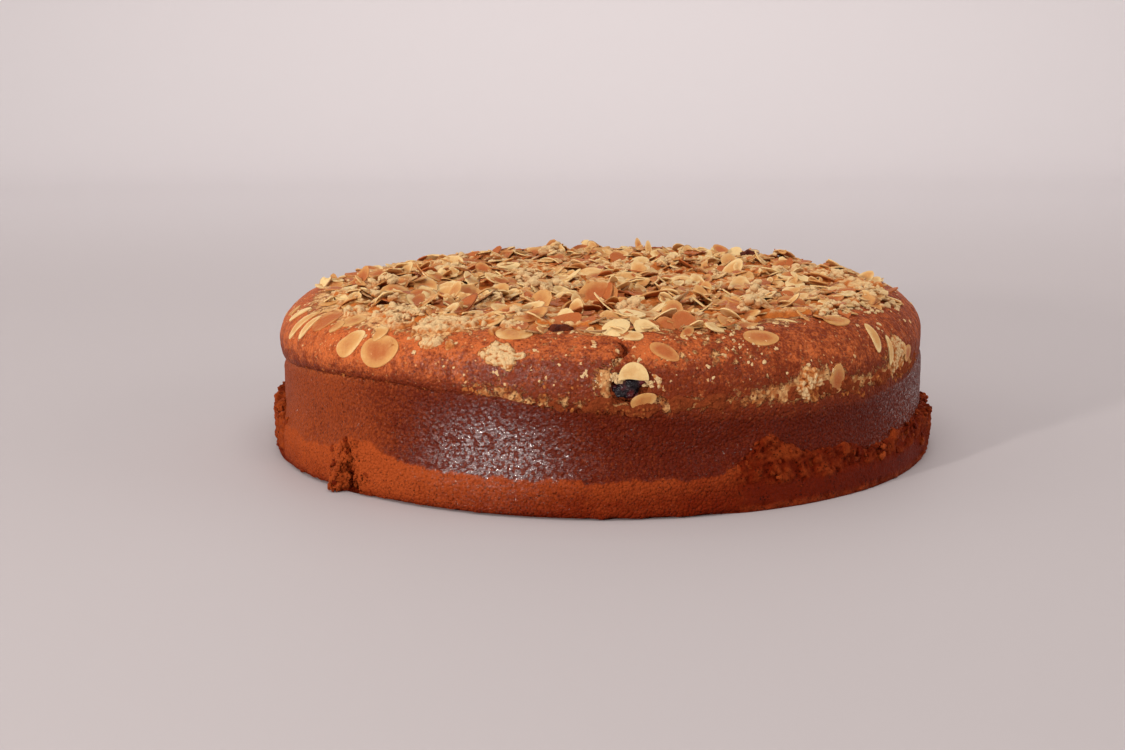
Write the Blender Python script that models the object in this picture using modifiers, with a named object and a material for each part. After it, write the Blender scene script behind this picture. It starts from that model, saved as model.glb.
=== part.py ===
"""A round crumble cake, 26 cm across, baked in a ring tin and topped with flaked almonds.

Metres, +Z up, with the origin at the middle of the flat underside. An azimuth is in degrees, 0 at
the front (-Y) and growing towards +X. A climb is in degrees along the rounded shoulder, 0 at its
widest line and 90 at the ridge round the top.
"""

import math

import bmesh
import bpy
from mathutils import Matrix, Vector

# ---- Driving dimensions ------------------------------------------------------------------------

GAP = 0.0004  # between pieces that touch

UNDERSIDE_RADIUS = 0.1296
BASE_RADIUS = 0.1302  # the torn ring round the foot
WALL_RADIUS = 0.1262  # the smooth side above it
CREASE_RADIUS = 0.1253  # where the side folds in under the shoulder
BULGE_RADIUS = 0.1266  # the shoulder's widest line
RIDGE_RADIUS = 0.1060  # the ridge round the top
RING_HEIGHT = 0.0135
CREASE_HEIGHT = 0.0362
BULGE_HEIGHT = 0.0440
RIDGE_HEIGHT = 0.0598
DISH_DEPTH = 0.0013  # how far the middle of the top has sunk
LOPSIDED = 0.0008  # how much further the shoulder reaches on the left
UNEVEN = 0.0004  # the side's wander from a true circle

TOPPING_RADIUS = 0.1075
TOPPING_DEPTH = 0.0036
TOPPING_BUMP = 0.0008

CAKE_STEPS = 72
TOPPING_STEPS = 48

# Where the ring round the foot is torn higher: azimuth, extra height, spread in degrees.
TORN_PEAKS = [
    (-90, 0.0060, 12),
    (-66, 0.0020, 9),
    (-41, 0.0065, 7),
    (26, 0.0105, 5),
    (38, 0.0030, 8),
    (66, 0.0040, 14),
    (112, 0.0050, 9),
    (154, 0.0030, 12),
    (-148, 0.0045, 8),
    (-116, 0.0025, 9),
]

# Berries: name, azimuth, radius and height of the middle, half sizes round, in and up.
BERRIES = [
    ("berry_front", 4.2, 0.1220, 0.0440, (0.0058, 0.0048, 0.0050)),
    ("berry_ridge", -7.7, 0.1062, 0.0608, (0.0046, 0.0034, 0.0030)),
    ("berry_right", 44.5, 0.1240, 0.0430, (0.0036, 0.0036, 0.0034)),
    ("berry_back", 139.3, 0.1008, 0.0606, (0.0048, 0.0040, 0.0034)),
]
FRONT_CAVITY = (4.2, 0.1240, 0.0445, (0.0074, 0.0082, 0.0060))

# Almond slices that lie alone: name, azimuth, climb, length, width, turn in degrees.
ALMONDS = [
    ("almond_round", -38.1, 26, 0.0170, 0.0112, 4),
    ("almond_notched", -45.6, 29, 0.0122, 0.0098, 40),
    ("almond_brown_heart", -57.2, 57, 0.0112, 0.0090, 60),
    ("almond_sliver_left", -64.6, 36, 0.0150, 0.0050, 66),
    ("almond_tan", -49.8, 62, 0.0100, 0.0082, 20),
    ("almond_ridge", -15.2, 72, 0.0132, 0.0090, -6),
    ("almond_over_berry", 4.9, 25, 0.0112, 0.0062, 2),
    ("almond_under_berry", 7.6, -10, 0.0070, 0.0050, 30),
    ("almond_crack", 10.2, 44, 0.0110, 0.0060, -38),
    ("almond_right", 27.5, 57, 0.0132, 0.0080, -8),
    ("almond_orange", 39.9, -3, 0.0104, 0.0072, 75),
    ("almond_far_right", 52.0, 33, 0.0120, 0.0054, 80),
    ("almond_back_right", 103, 48, 0.0135, 0.0090, 15),
    ("almond_back", 168, 36, 0.0140, 0.0100, -25),
    ("almond_back_left", -126, 52, 0.0125, 0.0088, 50),
]
ALMOND_THICKNESS = 0.0010

# Patches of crumble baked on to the shoulder: name, azimuth, climb, length, width, turn.
CRUMBLE = [
    ("crumble_front", -16.4, 34, 0.0160, 0.0130, -30),
    ("crumble_left", -29.0, 45, 0.0110, 0.0085, 10),
    ("crumble_right", 34.0, -4, 0.0120, 0.0140, 0),
    ("crumble_far_right", 58.4, 4, 0.0130, 0.0120, 60),
    ("crumble_back_right", 124, 14, 0.0170, 0.0120, 20),
    ("crumble_back_left", -146, 22, 0.0150, 0.0110, -15),
]
CRUMBLE_THICKNESS = 0.0016

# The tear at the foot: a notch beside a flap that is pushed outwards.
NOTCH_AZIMUTH = -42.6
NOTCH_WIDTH = 0.0050
NOTCH_DEPTH = 0.0060
NOTCH_HEIGHT = 0.0170
FLAP_AZIMUTH = -46.0
FLAP_SIZE = (0.0075, 0.0085, 0.0105)  # round, outwards and up
FLAP_REACH = 0.1330

# The short crack above the front berry.
CRACK_AZIMUTH = 3.1
CRACK_CLIMB = 47
CRACK_HALF_SIZES = (0.0009, 0.0058, 0.0026)

COLLECTION = "crumble_cake"
CUTTER_COLLECTION = "cutters"


# ---- The cake's shape as functions of azimuth --------------------------------------------------


def ring_top(azimuth):
    """Height of the torn edge of the ring round the foot."""
    height = RING_HEIGHT
    for peak, extra, spread in TORN_PEAKS:
        away = (azimuth - peak + 180) % 360 - 180
        height += extra * math.exp(-((away / spread) ** 2))
    return height


def crease_height(azimuth):
    """Height of the fold under the shoulder, which wanders up and down round the cake."""
    a = math.radians(azimuth)
    return CREASE_HEIGHT - 0.0025 * math.sin(2 * a) - 0.0025 * math.sin(3 * a)


def wander(azimuth):
    """How far the side stands out from a true circle."""
    a = math.radians(azimuth)
    return UNEVEN * (math.sin(3 * a + 0.6) + 0.6 * math.sin(7 * a + 2.1))


def shoulder(azimuth):
    """Half width, middle height and half height of the shoulder's quarter ellipse."""
    reach = BULGE_RADIUS - LOPSIDED * math.sin(math.radians(azimuth)) + wander(azimuth)
    middle = BULGE_HEIGHT + 0.4 * (crease_height(azimuth) - CREASE_HEIGHT)
    return reach - RIDGE_RADIUS, middle, RIDGE_HEIGHT - middle


def top_height(radius, azimuth):
    """Height of the cake's own top, dished inside the ridge and rounded outside it."""
    if radius <= RIDGE_RADIUS:
        return RIDGE_HEIGHT - DISH_DEPTH * (1 - (radius / RIDGE_RADIUS) ** 2)
    wide, middle, high = shoulder(azimuth)
    across = min(1.0, (radius - RIDGE_RADIUS) / wide)
    return middle + high * math.sqrt(1 - across * across)


def cake_profile(azimuth):
    """Radius and height down the cake's outer side, from the top's middle to the underside's."""
    wide, middle, high = shoulder(azimuth)
    crease = crease_height(azimuth)
    ring = ring_top(azimuth)
    out = wander(azimuth)
    points = [(radius, top_height(radius, azimuth)) for radius in (0.0, 0.034, 0.068, 0.092)]
    for climb in (90, 79, 68, 57, 46, 35, 24, 12, 0):
        t = math.radians(climb)
        points.append((RIDGE_RADIUS + wide * math.cos(t), middle + high * math.sin(t)))
    points += [
        (RIDGE_RADIUS + wide * 0.96, 0.55 * middle + 0.45 * crease),
        (CREASE_RADIUS + out + 0.0003, crease + 0.0014),
        (CREASE_RADIUS + out, crease),
        (WALL_RADIUS + out, crease - 0.0030),
        (WALL_RADIUS + out, 0.5 * (ring + crease)),
        (WALL_RADIUS + out + 0.0006, ring + 0.0016),
        (BASE_RADIUS + out - 0.0008, ring - 0.0022),
        (BASE_RADIUS + out, 0.5 * ring),
        (BASE_RADIUS + out, 0.0016),
        (UNDERSIDE_RADIUS + out, 0.0),
        (0.0, 0.0),
    ]
    return points


def topping_rim(azimuth):
    """How far out the topping lies: it spills over the ridge on the left and on the far right."""
    a = math.radians(azimuth)
    spill = 0.0032 * math.exp(-(((azimuth + 50) / 22) ** 2))
    spill += 0.0026 * math.exp(-(((azimuth - 62) / 18) ** 2))
    return TOPPING_RADIUS + spill + 0.0010 * math.sin(5 * a + 1.0) + 0.0007 * math.sin(9 * a)


def topping_profile(azimuth):
    """Radius and height of the topping's outer side, from its upper middle to its lower one."""
    rim = topping_rim(azimuth)
    points = []
    for radius in (0.0, 0.018, 0.036, 0.054, 0.072, 0.088, rim - 0.0075):
        points.append((radius, top_height(radius, azimuth) + topping_depth(radius, azimuth)))
    points.append((rim - 0.0012, top_height(rim - 0.0012, azimuth) + GAP + 0.0016))
    for radius in (rim, rim - 0.0040, 0.092, 0.068, 0.034, 0.0):
        points.append((radius, top_height(radius, azimuth) + GAP))
    return points


def topping_depth(radius, azimuth):
    """Depth of almonds and crumble on the top, with the heap's humps and hollows."""
    a = math.radians(azimuth)
    x, y = radius * math.sin(a), -radius * math.cos(a)
    humps = math.sin(310 * x + 1.3) * math.sin(270 * y + 0.4) + math.sin(170 * (x + y) + 2.0)
    return TOPPING_DEPTH + TOPPING_BUMP * 0.5 * humps


# ---- Placing -----------------------------------------------------------------------------------


def spot(azimuth, radius, height):
    """The frame of a place: X round the cake to the right, Y up, Z outwards."""
    a = math.radians(azimuth)
    outwards = Vector((math.sin(a), -math.cos(a), 0))
    round_cake = Vector((math.cos(a), math.sin(a), 0))
    frame = Matrix((round_cake, Vector((0, 0, 1)), outwards)).transposed().to_4x4()
    frame.translation = outwards * radius + Vector((0, 0, height))
    return frame


def shoulder_spot(azimuth, climb):
    """The frame of a place on the shoulder, its Y up along the crust and its Z off it."""
    wide, middle, high = shoulder(azimuth)
    t = math.radians(climb)
    frame = spot(azimuth, RIDGE_RADIUS + wide * math.cos(t), middle + high * math.sin(t))
    tilt = math.atan2(math.sin(t) / high, math.cos(t) / wide)
    return frame @ Matrix.Rotation(-tilt, 4, "X")


# ---- Blender tools -----------------------------------------------------------------------------


def clear_scene():
    for thing in list(bpy.data.objects):
        bpy.data.objects.remove(thing, do_unlink=True)


def new_collection(name):
    made = bpy.data.collections.new(name)
    bpy.context.scene.collection.children.link(made)
    return made


def new_material(name, colour, roughness, coat=0.0):
    made = bpy.data.materials.new(name)
    made.use_nodes = True
    shader = made.node_tree.nodes["Principled BSDF"]
    shader.inputs["Base Color"].default_value = (*colour, 1)
    shader.inputs["Roughness"].default_value = roughness
    shader.inputs["Metallic"].default_value = 0.0
    shader.inputs["Coat Weight"].default_value = coat
    return made


def new_object(name, mesh, collection, material=None):
    made = bpy.data.objects.new(name, mesh)
    collection.objects.link(made)
    if material:
        mesh.materials.append(material)
    return made


def hide(thing):
    """Marks a cutter or a guide, which isn't part of the cake."""
    thing.hide_render = True
    thing.display_type = "WIRE"


def applied(thing):
    """Replaces an object's mesh with the one that its modifiers make."""
    depsgraph = bpy.context.evaluated_depsgraph_get()
    mesh = bpy.data.meshes.new_from_object(thing.evaluated_get(depsgraph))
    thing.modifiers.clear()
    thing.data = mesh
    return thing


def turned(name, profile, steps, collection, material):
    """A solid of revolution whose profile at every azimuth is the one that profile() gives."""
    plain = profile(0)
    mesh = bpy.data.meshes.new(name)
    points = [(radius, 0, height) for radius, height in plain]
    mesh.from_pydata(points, [(i, i + 1) for i in range(len(points) - 1)], [])
    thing = new_object(name, mesh, collection)
    screw = thing.modifiers.new("Screw", "SCREW")
    screw.steps = screw.render_steps = steps
    screw.use_merge_vertices = True
    screw.merge_threshold = 0.00005
    applied(thing)
    for vertex in thing.data.vertices:
        x, y, height = vertex.co
        radius = math.hypot(x, y)
        if radius < 1e-6:
            continue
        row = min(
            range(len(plain)),
            key=lambda i: math.hypot(plain[i][0] - radius, plain[i][1] - height),
        )
        azimuth = math.degrees(math.atan2(x, -y))
        radius, height = profile(azimuth)[row]
        a = math.radians(azimuth)
        vertex.co = (radius * math.sin(a), -radius * math.cos(a), height)
    thing.data.materials.append(material)
    shade(thing, 40)
    return thing


def shade(thing, sharp_degrees):
    thing.data.shade_smooth()
    thing.data.set_sharp_from_angle(angle=math.radians(sharp_degrees))


def egg(name, frame, half_sizes, collection, material=None, segments=14, rings=8):
    """A ball stretched to half sizes along a frame's X, Z and Y: round, in and up."""
    around, inwards, up = half_sizes
    mesh = bpy.data.meshes.new(name)
    shape = bmesh.new()
    bmesh.ops.create_uvsphere(shape, u_segments=segments, v_segments=rings, radius=1.0)
    bmesh.ops.transform(
        shape, matrix=frame @ Matrix.Diagonal((around, up, inwards, 1)), verts=shape.verts
    )
    shape.to_mesh(mesh)
    shape.free()
    made = new_object(name, mesh, collection, material)
    shade(made, 60)
    return made


def block(name, frame, low, high, collection):
    """A box between two corners of a frame, with its upper end drawn in to a blunt wedge."""
    mesh = bpy.data.meshes.new(name)
    shape = bmesh.new()
    bmesh.ops.create_cube(shape, size=1.0)
    for vertex in shape.verts:
        upper = vertex.co.y > 0
        for axis in range(3):
            side = vertex.co[axis] + 0.5
            vertex.co[axis] = low[axis] + side * (high[axis] - low[axis])
        if upper:
            vertex.co.x *= 0.35
            vertex.co.z = low[2] + 0.45 * (vertex.co.z - low[2])
    bmesh.ops.transform(shape, matrix=frame, verts=shape.verts)
    shape.to_mesh(mesh)
    shape.free()
    made = new_object(name, mesh, collection)
    hide(made)
    return made


def boolean(thing, other, operation):
    modifier = thing.modifiers.new(other.name, "BOOLEAN")
    modifier.operation = operation
    modifier.solver = "EXACT"
    modifier.object = other


def laid_on(name, frame, outline, thickness, guide, collection, material):
    """A thin piece baked on to the crust: its flat outline is pressed on and given a thickness."""
    mesh = bpy.data.meshes.new(name)
    shape = bmesh.new()
    corners = 16
    bmesh.ops.create_circle(shape, cap_ends=True, cap_tris=True, radius=1.0, segments=corners)
    spokes = [edge for edge in shape.edges if not edge.is_boundary]
    bmesh.ops.subdivide_edges(shape, edges=spokes, cuts=1)
    for vertex in shape.verts:
        across = math.hypot(vertex.co.x, vertex.co.y)
        if across > 1e-6:
            reach = outline(math.atan2(vertex.co.y, vertex.co.x))
            vertex.co = Vector((reach[0] * across, reach[1] * across, 0))
    shape.to_mesh(mesh)
    shape.free()
    made = new_object(name, mesh, collection, material)
    made.matrix_world = frame @ Matrix.Translation((0, 0, 0.004))
    wrap = made.modifiers.new("Press on", "SHRINKWRAP")
    wrap.target = guide
    wrap.wrap_method = "PROJECT"
    wrap.use_project_z = True
    wrap.use_negative_direction = True
    wrap.use_positive_direction = True
    wrap.wrap_mode = "ABOVE_SURFACE"
    wrap.offset = GAP + 0.0002
    solid = made.modifiers.new("Thickness", "SOLIDIFY")
    solid.thickness = thickness
    solid.offset = 1.0
    return made


def almond_outline(length, width):
    """An almond slice's edge: an oval, a little pointed at one end."""

    def edge(t):
        pointed = 1 - 0.16 * math.cos(t)
        return 0.5 * length * math.cos(t), 0.5 * width * math.sin(t) * pointed

    return edge


def crumble_outline(length, width, phase):
    """A crumble patch's ragged edge."""

    def edge(t):
        ragged = 1 + 0.16 * math.sin(3 * t + phase) + 0.10 * math.sin(5 * t + 2 * phase)
        return 0.5 * length * math.cos(t) * ragged, 0.5 * width * math.sin(t) * ragged

    return edge


# ---- The pieces --------------------------------------------------------------------------------


def build():
    clear_scene()
    pieces = new_collection(COLLECTION)
    cutters = new_collection(CUTTER_COLLECTION)
    crust = new_material("crust", (0.36, 0.11, 0.035), 0.45)
    topping_mix = new_material("almond_crumble", (0.72, 0.42, 0.16), 0.6)
    berry_skin = new_material("berry_skin", (0.02, 0.012, 0.022), 0.25, coat=0.4)
    almond_flesh = new_material("almond_flesh", (0.74, 0.45, 0.20), 0.5)
    crumble_mix = new_material("crumble", (0.80, 0.58, 0.27), 0.75)

    cake = turned("cake", cake_profile, CAKE_STEPS, pieces, crust)
    guide = new_object("uncut_crust", cake.data.copy(), cutters)
    hide(guide)
    topping = turned("topping", topping_profile, TOPPING_STEPS, pieces, topping_mix)

    azimuth, radius, height, half_sizes = FRONT_CAVITY
    cavity = egg("front_cavity", spot(azimuth, radius, height), half_sizes, cutters)
    hide(cavity)
    boolean(cake, cavity, "DIFFERENCE")

    for name, azimuth, radius, height, half_sizes in BERRIES:
        frame = spot(azimuth, radius, height)
        egg(name, frame, half_sizes, pieces, berry_skin)
        if name == "berry_front":
            continue
        pocket_sizes = [size + GAP for size in half_sizes]
        pocket = egg("pocket_" + name, frame, pocket_sizes, cutters)
        hide(pocket)
        boolean(cake, pocket, "DIFFERENCE")
        if height > BULGE_HEIGHT + 0.01:
            boolean(topping, pocket, "DIFFERENCE")

    crack = egg("crack", shoulder_spot(CRACK_AZIMUTH, CRACK_CLIMB), (
        CRACK_HALF_SIZES[0],
        CRACK_HALF_SIZES[2],
        CRACK_HALF_SIZES[1],
    ), cutters, segments=8, rings=6)
    hide(crack)
    boolean(cake, crack, "DIFFERENCE")

    width, outwards, up = FLAP_SIZE
    flap = block(
        "flap",
        spot(FLAP_AZIMUTH, FLAP_REACH, 0.0),
        (-0.5 * width, 0.0006, -outwards),
        (0.5 * width, up, 0.0),
        cutters,
    )
    boolean(cake, flap, "UNION")
    notch = block(
        "notch",
        spot(NOTCH_AZIMUTH, BASE_RADIUS, 0.0),
        (-0.5 * NOTCH_WIDTH, -0.002, -NOTCH_DEPTH),
        (0.5 * NOTCH_WIDTH, NOTCH_HEIGHT, 2 * NOTCH_DEPTH),
        cutters,
    )
    boolean(cake, notch, "DIFFERENCE")

    for name, azimuth, climb, length, width, turn in ALMONDS:
        frame = shoulder_spot(azimuth, climb) @ Matrix.Rotation(math.radians(turn), 4, "Z")
        outline = almond_outline(length, width)
        laid_on(name, frame, outline, ALMOND_THICKNESS, guide, pieces, almond_flesh)
    for number, (name, azimuth, climb, length, width, turn) in enumerate(CRUMBLE):
        frame = shoulder_spot(azimuth, climb) @ Matrix.Rotation(math.radians(turn), 4, "Z")
        outline = crumble_outline(length, width, 1.7 * number)
        laid_on(name, frame, outline, CRUMBLE_THICKNESS, guide, pieces, crumble_mix)


build()
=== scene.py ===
import itertools
import math

import bpy
import numpy as np
from mathutils import Matrix, Vector
from mathutils.bvhtree import BVHTree


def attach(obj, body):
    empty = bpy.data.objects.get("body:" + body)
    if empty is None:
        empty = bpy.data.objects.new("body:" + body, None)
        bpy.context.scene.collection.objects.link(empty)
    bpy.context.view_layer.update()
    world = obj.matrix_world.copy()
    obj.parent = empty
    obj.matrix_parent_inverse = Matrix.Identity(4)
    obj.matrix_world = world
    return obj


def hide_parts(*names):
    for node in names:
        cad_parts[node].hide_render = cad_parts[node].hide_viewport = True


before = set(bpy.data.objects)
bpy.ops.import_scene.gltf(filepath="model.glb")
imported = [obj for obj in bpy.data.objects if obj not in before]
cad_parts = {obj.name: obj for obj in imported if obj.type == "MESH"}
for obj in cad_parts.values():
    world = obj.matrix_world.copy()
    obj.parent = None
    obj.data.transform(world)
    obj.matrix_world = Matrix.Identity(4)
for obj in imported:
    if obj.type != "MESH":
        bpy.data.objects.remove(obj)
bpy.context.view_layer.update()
scene = bpy.context.scene

# ---- Camera, floor and light -------------------------------------------------------------------
# The cake stands alone on a pale table that runs up into a wall. A broad soft lamp hangs over it
# and a smaller one, at the front left, makes the crust glitter.

PICTURE_WIDTH = 1125  # pixels
FOCAL_PIXELS = 1700
SENSOR = 36.0  # millimetres
CAMERA_PLACE = (0.0, -0.6729, 0.1578)
LOOK_DOWN = 11.306  # degrees
LOOK_LEFT = 1.352
CAMERA_ROLL = -0.355

camera = bpy.data.objects.new("camera", bpy.data.cameras.new("camera"))
scene.collection.objects.link(camera)
camera.data.sensor_width = SENSOR
camera.data.lens = FOCAL_PIXELS / PICTURE_WIDTH * SENSOR
camera.data.clip_start = 0.01
camera.matrix_world = (
    Matrix.Translation(CAMERA_PLACE)
    @ Matrix.Rotation(math.radians(LOOK_LEFT), 4, "Z")
    @ Matrix.Rotation(math.radians(90 - LOOK_DOWN), 4, "X")
    @ Matrix.Rotation(math.radians(CAMERA_ROLL), 4, "Z")
)
scene.camera = camera
scene.view_settings.view_transform = "Standard"


def deselect():
    if bpy.context.object and bpy.context.object.mode != "OBJECT":
        bpy.ops.object.mode_set(mode="OBJECT")
    bpy.ops.object.select_all(action="DESELECT")


def edit(thing, mode="VERT"):
    """Opens a piece in edit mode with nothing selected."""
    deselect()
    bpy.context.view_layer.objects.active = thing
    thing.select_set(True)
    bpy.ops.object.mode_set(mode="EDIT")
    bpy.ops.mesh.select_mode(type=mode)
    bpy.ops.mesh.select_all(action="DESELECT")


def pick(thing, kind, test):
    """Selects a piece's vertices, edges or faces by a test, from within edit mode."""
    bpy.ops.object.mode_set(mode="OBJECT")
    for item in getattr(thing.data, kind):
        item.select = bool(test(item))
    bpy.ops.object.mode_set(mode="EDIT")


ROOM_HALF = 2.0
WALL_DISTANCE = 1.5
WALL_HEIGHT = 2.4
FOLD_RADIUS = 0.35

deselect()
bpy.ops.mesh.primitive_plane_add(size=2 * ROOM_HALF, location=(0, WALL_DISTANCE - ROOM_HALF, 0))
floor = bpy.context.object
floor.name = "floor"
bpy.ops.object.transform_apply(location=True, rotation=True, scale=True)
edit(floor, "EDGE")
far = [
    i
    for i, edge in enumerate(floor.data.edges)
    if all(floor.data.vertices[v].co.y > WALL_DISTANCE - 0.01 for v in edge.vertices)
]
pick(floor, "edges", lambda edge: edge.index in far)
bpy.ops.mesh.extrude_region_move(TRANSFORM_OT_translate={"value": (0, 0, WALL_HEIGHT)})
bpy.ops.mesh.select_all(action="DESELECT")
pick(floor, "edges", lambda edge: edge.index in far)
bpy.ops.mesh.bevel(offset=FOLD_RADIUS, segments=12, affect="EDGES")
bpy.ops.object.mode_set(mode="OBJECT")
floor.data.shade_smooth()


class Value:
    """A shader socket that can be reckoned with like a number."""

    def __init__(self, tree, socket):
        self.tree = tree
        self.socket = socket

    def node(self, kind, settings=None, inputs=None, output=0):
        """Adds a node: its settings first, then the values or links of its sockets."""
        made = self.tree.nodes.new(kind)
        for name, value in (settings or {}).items():
            setattr(made, name, value)
        for name, value in (inputs or {}).items():
            if isinstance(value, Value):
                self.tree.links.new(value.socket, made.inputs[name])
            else:
                made.inputs[name].default_value = value
        return Value(self.tree, made.outputs[output])

    def math(self, operation, *values, clamp=False):
        settings = {"operation": operation, "use_clamp": clamp}
        return self.node("ShaderNodeMath", settings, dict(enumerate((self, *values))))

    def __add__(self, other):
        return self.math("ADD", other)

    __radd__ = __add__

    def __mul__(self, other):
        return self.math("MULTIPLY", other)

    __rmul__ = __mul__

    def __sub__(self, other):
        return self.math("SUBTRACT", other)

    def __rsub__(self, other):
        return (self * -1.0) + other

    def step(self, low, high):
        """0 below low and 1 above high, with a soft slope between."""
        inputs = {"Value": self, "From Min": low, "From Max": high}
        return self.node("ShaderNodeMapRange", {"interpolation_type": "SMOOTHSTEP"}, inputs)

    def clamped(self):
        return self.math("ADD", 0.0, clamp=True)

    def mix(self, low, high):
        """The colour low where this is 0 and high where it is 1."""
        inputs = {0: self, 6: low, 7: high}
        return self.node("ShaderNodeMix", {"data_type": "RGBA"}, inputs, output=2)

    def noise(self, scale, detail=2.0, roughness=0.5):
        """Cloudy noise at so many waves a metre, read at this vector."""
        inputs = {"Vector": self, "Scale": scale, "Detail": detail, "Roughness": roughness}
        return self.node("ShaderNodeTexNoise", {}, inputs)

    def cells(self, scale):
        """Distance to the nearest of scattered points, so many a metre."""
        return self.node("ShaderNodeTexVoronoi", {}, {"Vector": self, "Scale": scale})


class Finish:
    """A material: its Principled shader, its Object coordinates and its attributes."""

    def __init__(self, name, **sockets):
        self.material = bpy.data.materials.new(name)
        self.material.use_nodes = True
        self.tree = self.material.node_tree
        self.shader = self.tree.nodes["Principled BSDF"]
        for socket, value in sockets.items():
            self.shader.inputs[socket.replace("_", " ")].default_value = value
        self.start = Value(self.tree, None)
        self.place = self.start.node("ShaderNodeTexCoord", output=3)

    def attribute(self, name):
        return self.start.node("ShaderNodeAttribute", {"attribute_name": name}, output=2)

    def paint(self, colour, roughness=None, bumps=()):
        """Links what changes over the surface. Each bump is (height, depth in metres)."""
        self.tree.links.new(colour.socket, self.shader.inputs["Base Color"])
        if roughness is not None:
            self.tree.links.new(roughness.socket, self.shader.inputs["Roughness"])
        normal = None
        for height, depth in bumps:
            inputs = {"Height": height, "Distance": depth}
            if normal is not None:
                inputs["Normal"] = normal
            normal = self.start.node("ShaderNodeBump", {}, inputs)
        if normal is not None:
            self.tree.links.new(normal.socket, self.shader.inputs["Normal"])
        return self.material


TABLE_COLOUR = (0.485, 0.440, 0.442, 1)
BACKDROP_COLOUR = (0.68, 0.633, 0.64, 1)

table_paint = Finish("pale_table", Roughness=0.6, Specular_IOR_Level=0.3)
far_back = table_paint.place.node("ShaderNodeSeparateXYZ", {}, {0: table_paint.place}, output=1)
backdrop = far_back.step(0.3, 1.3)
floor.data.materials.append(table_paint.paint(backdrop.mix(TABLE_COLOUR, BACKDROP_COLOUR)))

WORLD_COLOUR = (1.0, 0.955, 0.945)
WORLD_STRENGTH = 0.40

world = bpy.data.worlds.new("studio")
scene.world = world
world.use_nodes = True
background = world.node_tree.nodes["Background"]
background.inputs["Color"].default_value = (*WORLD_COLOUR, 1)
background.inputs["Strength"].default_value = WORLD_STRENGTH

LAMPS_LOOK_AT = 0.04  # metres above the table


def lamp(name, azimuth, elevation, distance, size, watts, colour):
    """A square soft lamp that looks at the cake."""
    data = bpy.data.lights.new(name, "AREA")
    data.shape = "SQUARE"
    data.size = size
    data.energy = watts
    data.color = colour
    made = bpy.data.objects.new(name, data)
    scene.collection.objects.link(made)
    a, e = math.radians(azimuth), math.radians(elevation)
    way = Vector((math.sin(a) * math.cos(e), -math.cos(a) * math.cos(e), math.sin(e)))
    made.location = way * distance + Vector((0, 0, LAMPS_LOOK_AT))
    made.rotation_euler = way.to_track_quat("Z", "Y").to_euler()
    return made


lamp("overhead", 5, 74, 1.5, 1.3, 10.8, (1.0, 0.97, 0.94))
lamp("front_left", -38, 12, 1.3, 0.08, 10, (1.0, 0.96, 0.92))
lamp("left_wall", -95, 24, 1.4, 1.1, 4, (1.0, 0.96, 0.93))
lamp("right_wall", 84, 12, 1.4, 1.1, 8, (1.0, 0.95, 0.92))

wash = lamp("backdrop", 0, 60, 1.3, 1.2, 8, (1.0, 0.97, 0.96))
wash.location = (0, 0.65, 1.5)
wash.rotation_euler = (math.radians(58), 0, 0)

# ---- The cake itself ---------------------------------------------------------------------------
# A firm sponge baked in a ring tin. Its side is the browned skin that the tin pressed smooth, and
# above a fold the batter has swollen over the rim of the paper into a rounded, mottled shoulder.

BASE_RADIUS = 0.1302
WALL_RADIUS = 0.1262
CREASE_RADIUS = 0.1253
BULGE_RADIUS = 0.1266
RIDGE_RADIUS = 0.1060
RING_HEIGHT = 0.0135
CREASE_HEIGHT = 0.0362
BULGE_HEIGHT = 0.0440
RIDGE_HEIGHT = 0.0598
DISH_DEPTH = 0.0013
LOPSIDED = 0.0008
UNEVEN = 0.0004
GAP_AZIMUTH = -43.5  # the middle of the split in the foot, with its torn sides

# Where the ring round the foot is torn higher: azimuth, extra height, spread in degrees.
TORN_PEAKS = [
    (-90, 0.0060, 12),
    (-66, 0.0020, 9),
    (-41, 0.0065, 7),
    (26, 0.0105, 5),
    (38, 0.0030, 8),
    (66, 0.0040, 14),
    (112, 0.0050, 9),
    (154, 0.0030, 12),
    (-148, 0.0045, 8),
    (-116, 0.0025, 9),
]


def away(azimuth, middle):
    """Degrees from a middle azimuth, the short way round."""
    return (azimuth - middle + 180) % 360 - 180


def hump(value, middle, spread):
    return np.exp(-(((value - middle) / spread) ** 2))


def smooth(value, low, high):
    """0 below low and 1 above high, with a soft slope between."""
    t = np.clip((value - low) / (high - low), 0, 1)
    return t * t * (3 - 2 * t)


def between(value, low, full, fading, gone):
    """1 from full to fading, with a soft slope up from low and another down to gone."""
    return smooth(value, low, full) * (1 - smooth(value, fading, gone))


def facing(azimuth, middle, spread):
    """1 at a middle azimuth, fading over so many degrees to both sides."""
    return hump(away(azimuth, middle), 0, spread)


def ring_top(azimuth):
    """Height of the torn ring, as far as its ragged edge is left out."""
    height = RING_HEIGHT
    for peak, extra, spread in TORN_PEAKS:
        height = height + extra * facing(azimuth, peak, spread)
    return height


def crease_height(azimuth):
    a = np.radians(azimuth)
    return CREASE_HEIGHT - 0.0025 * np.sin(2 * a) - 0.0025 * np.sin(3 * a)


def wander(azimuth):
    a = np.radians(azimuth)
    return UNEVEN * (np.sin(3 * a + 0.6) + 0.6 * np.sin(7 * a + 2.1))


def shoulder(azimuth):
    """Half width, middle height and half height of the shoulder's quarter ellipse."""
    reach = BULGE_RADIUS - LOPSIDED * np.sin(np.radians(azimuth)) + wander(azimuth)
    middle = BULGE_HEIGHT + 0.4 * (crease_height(azimuth) - CREASE_HEIGHT)
    return reach - RIDGE_RADIUS, middle, RIDGE_HEIGHT - middle


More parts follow.
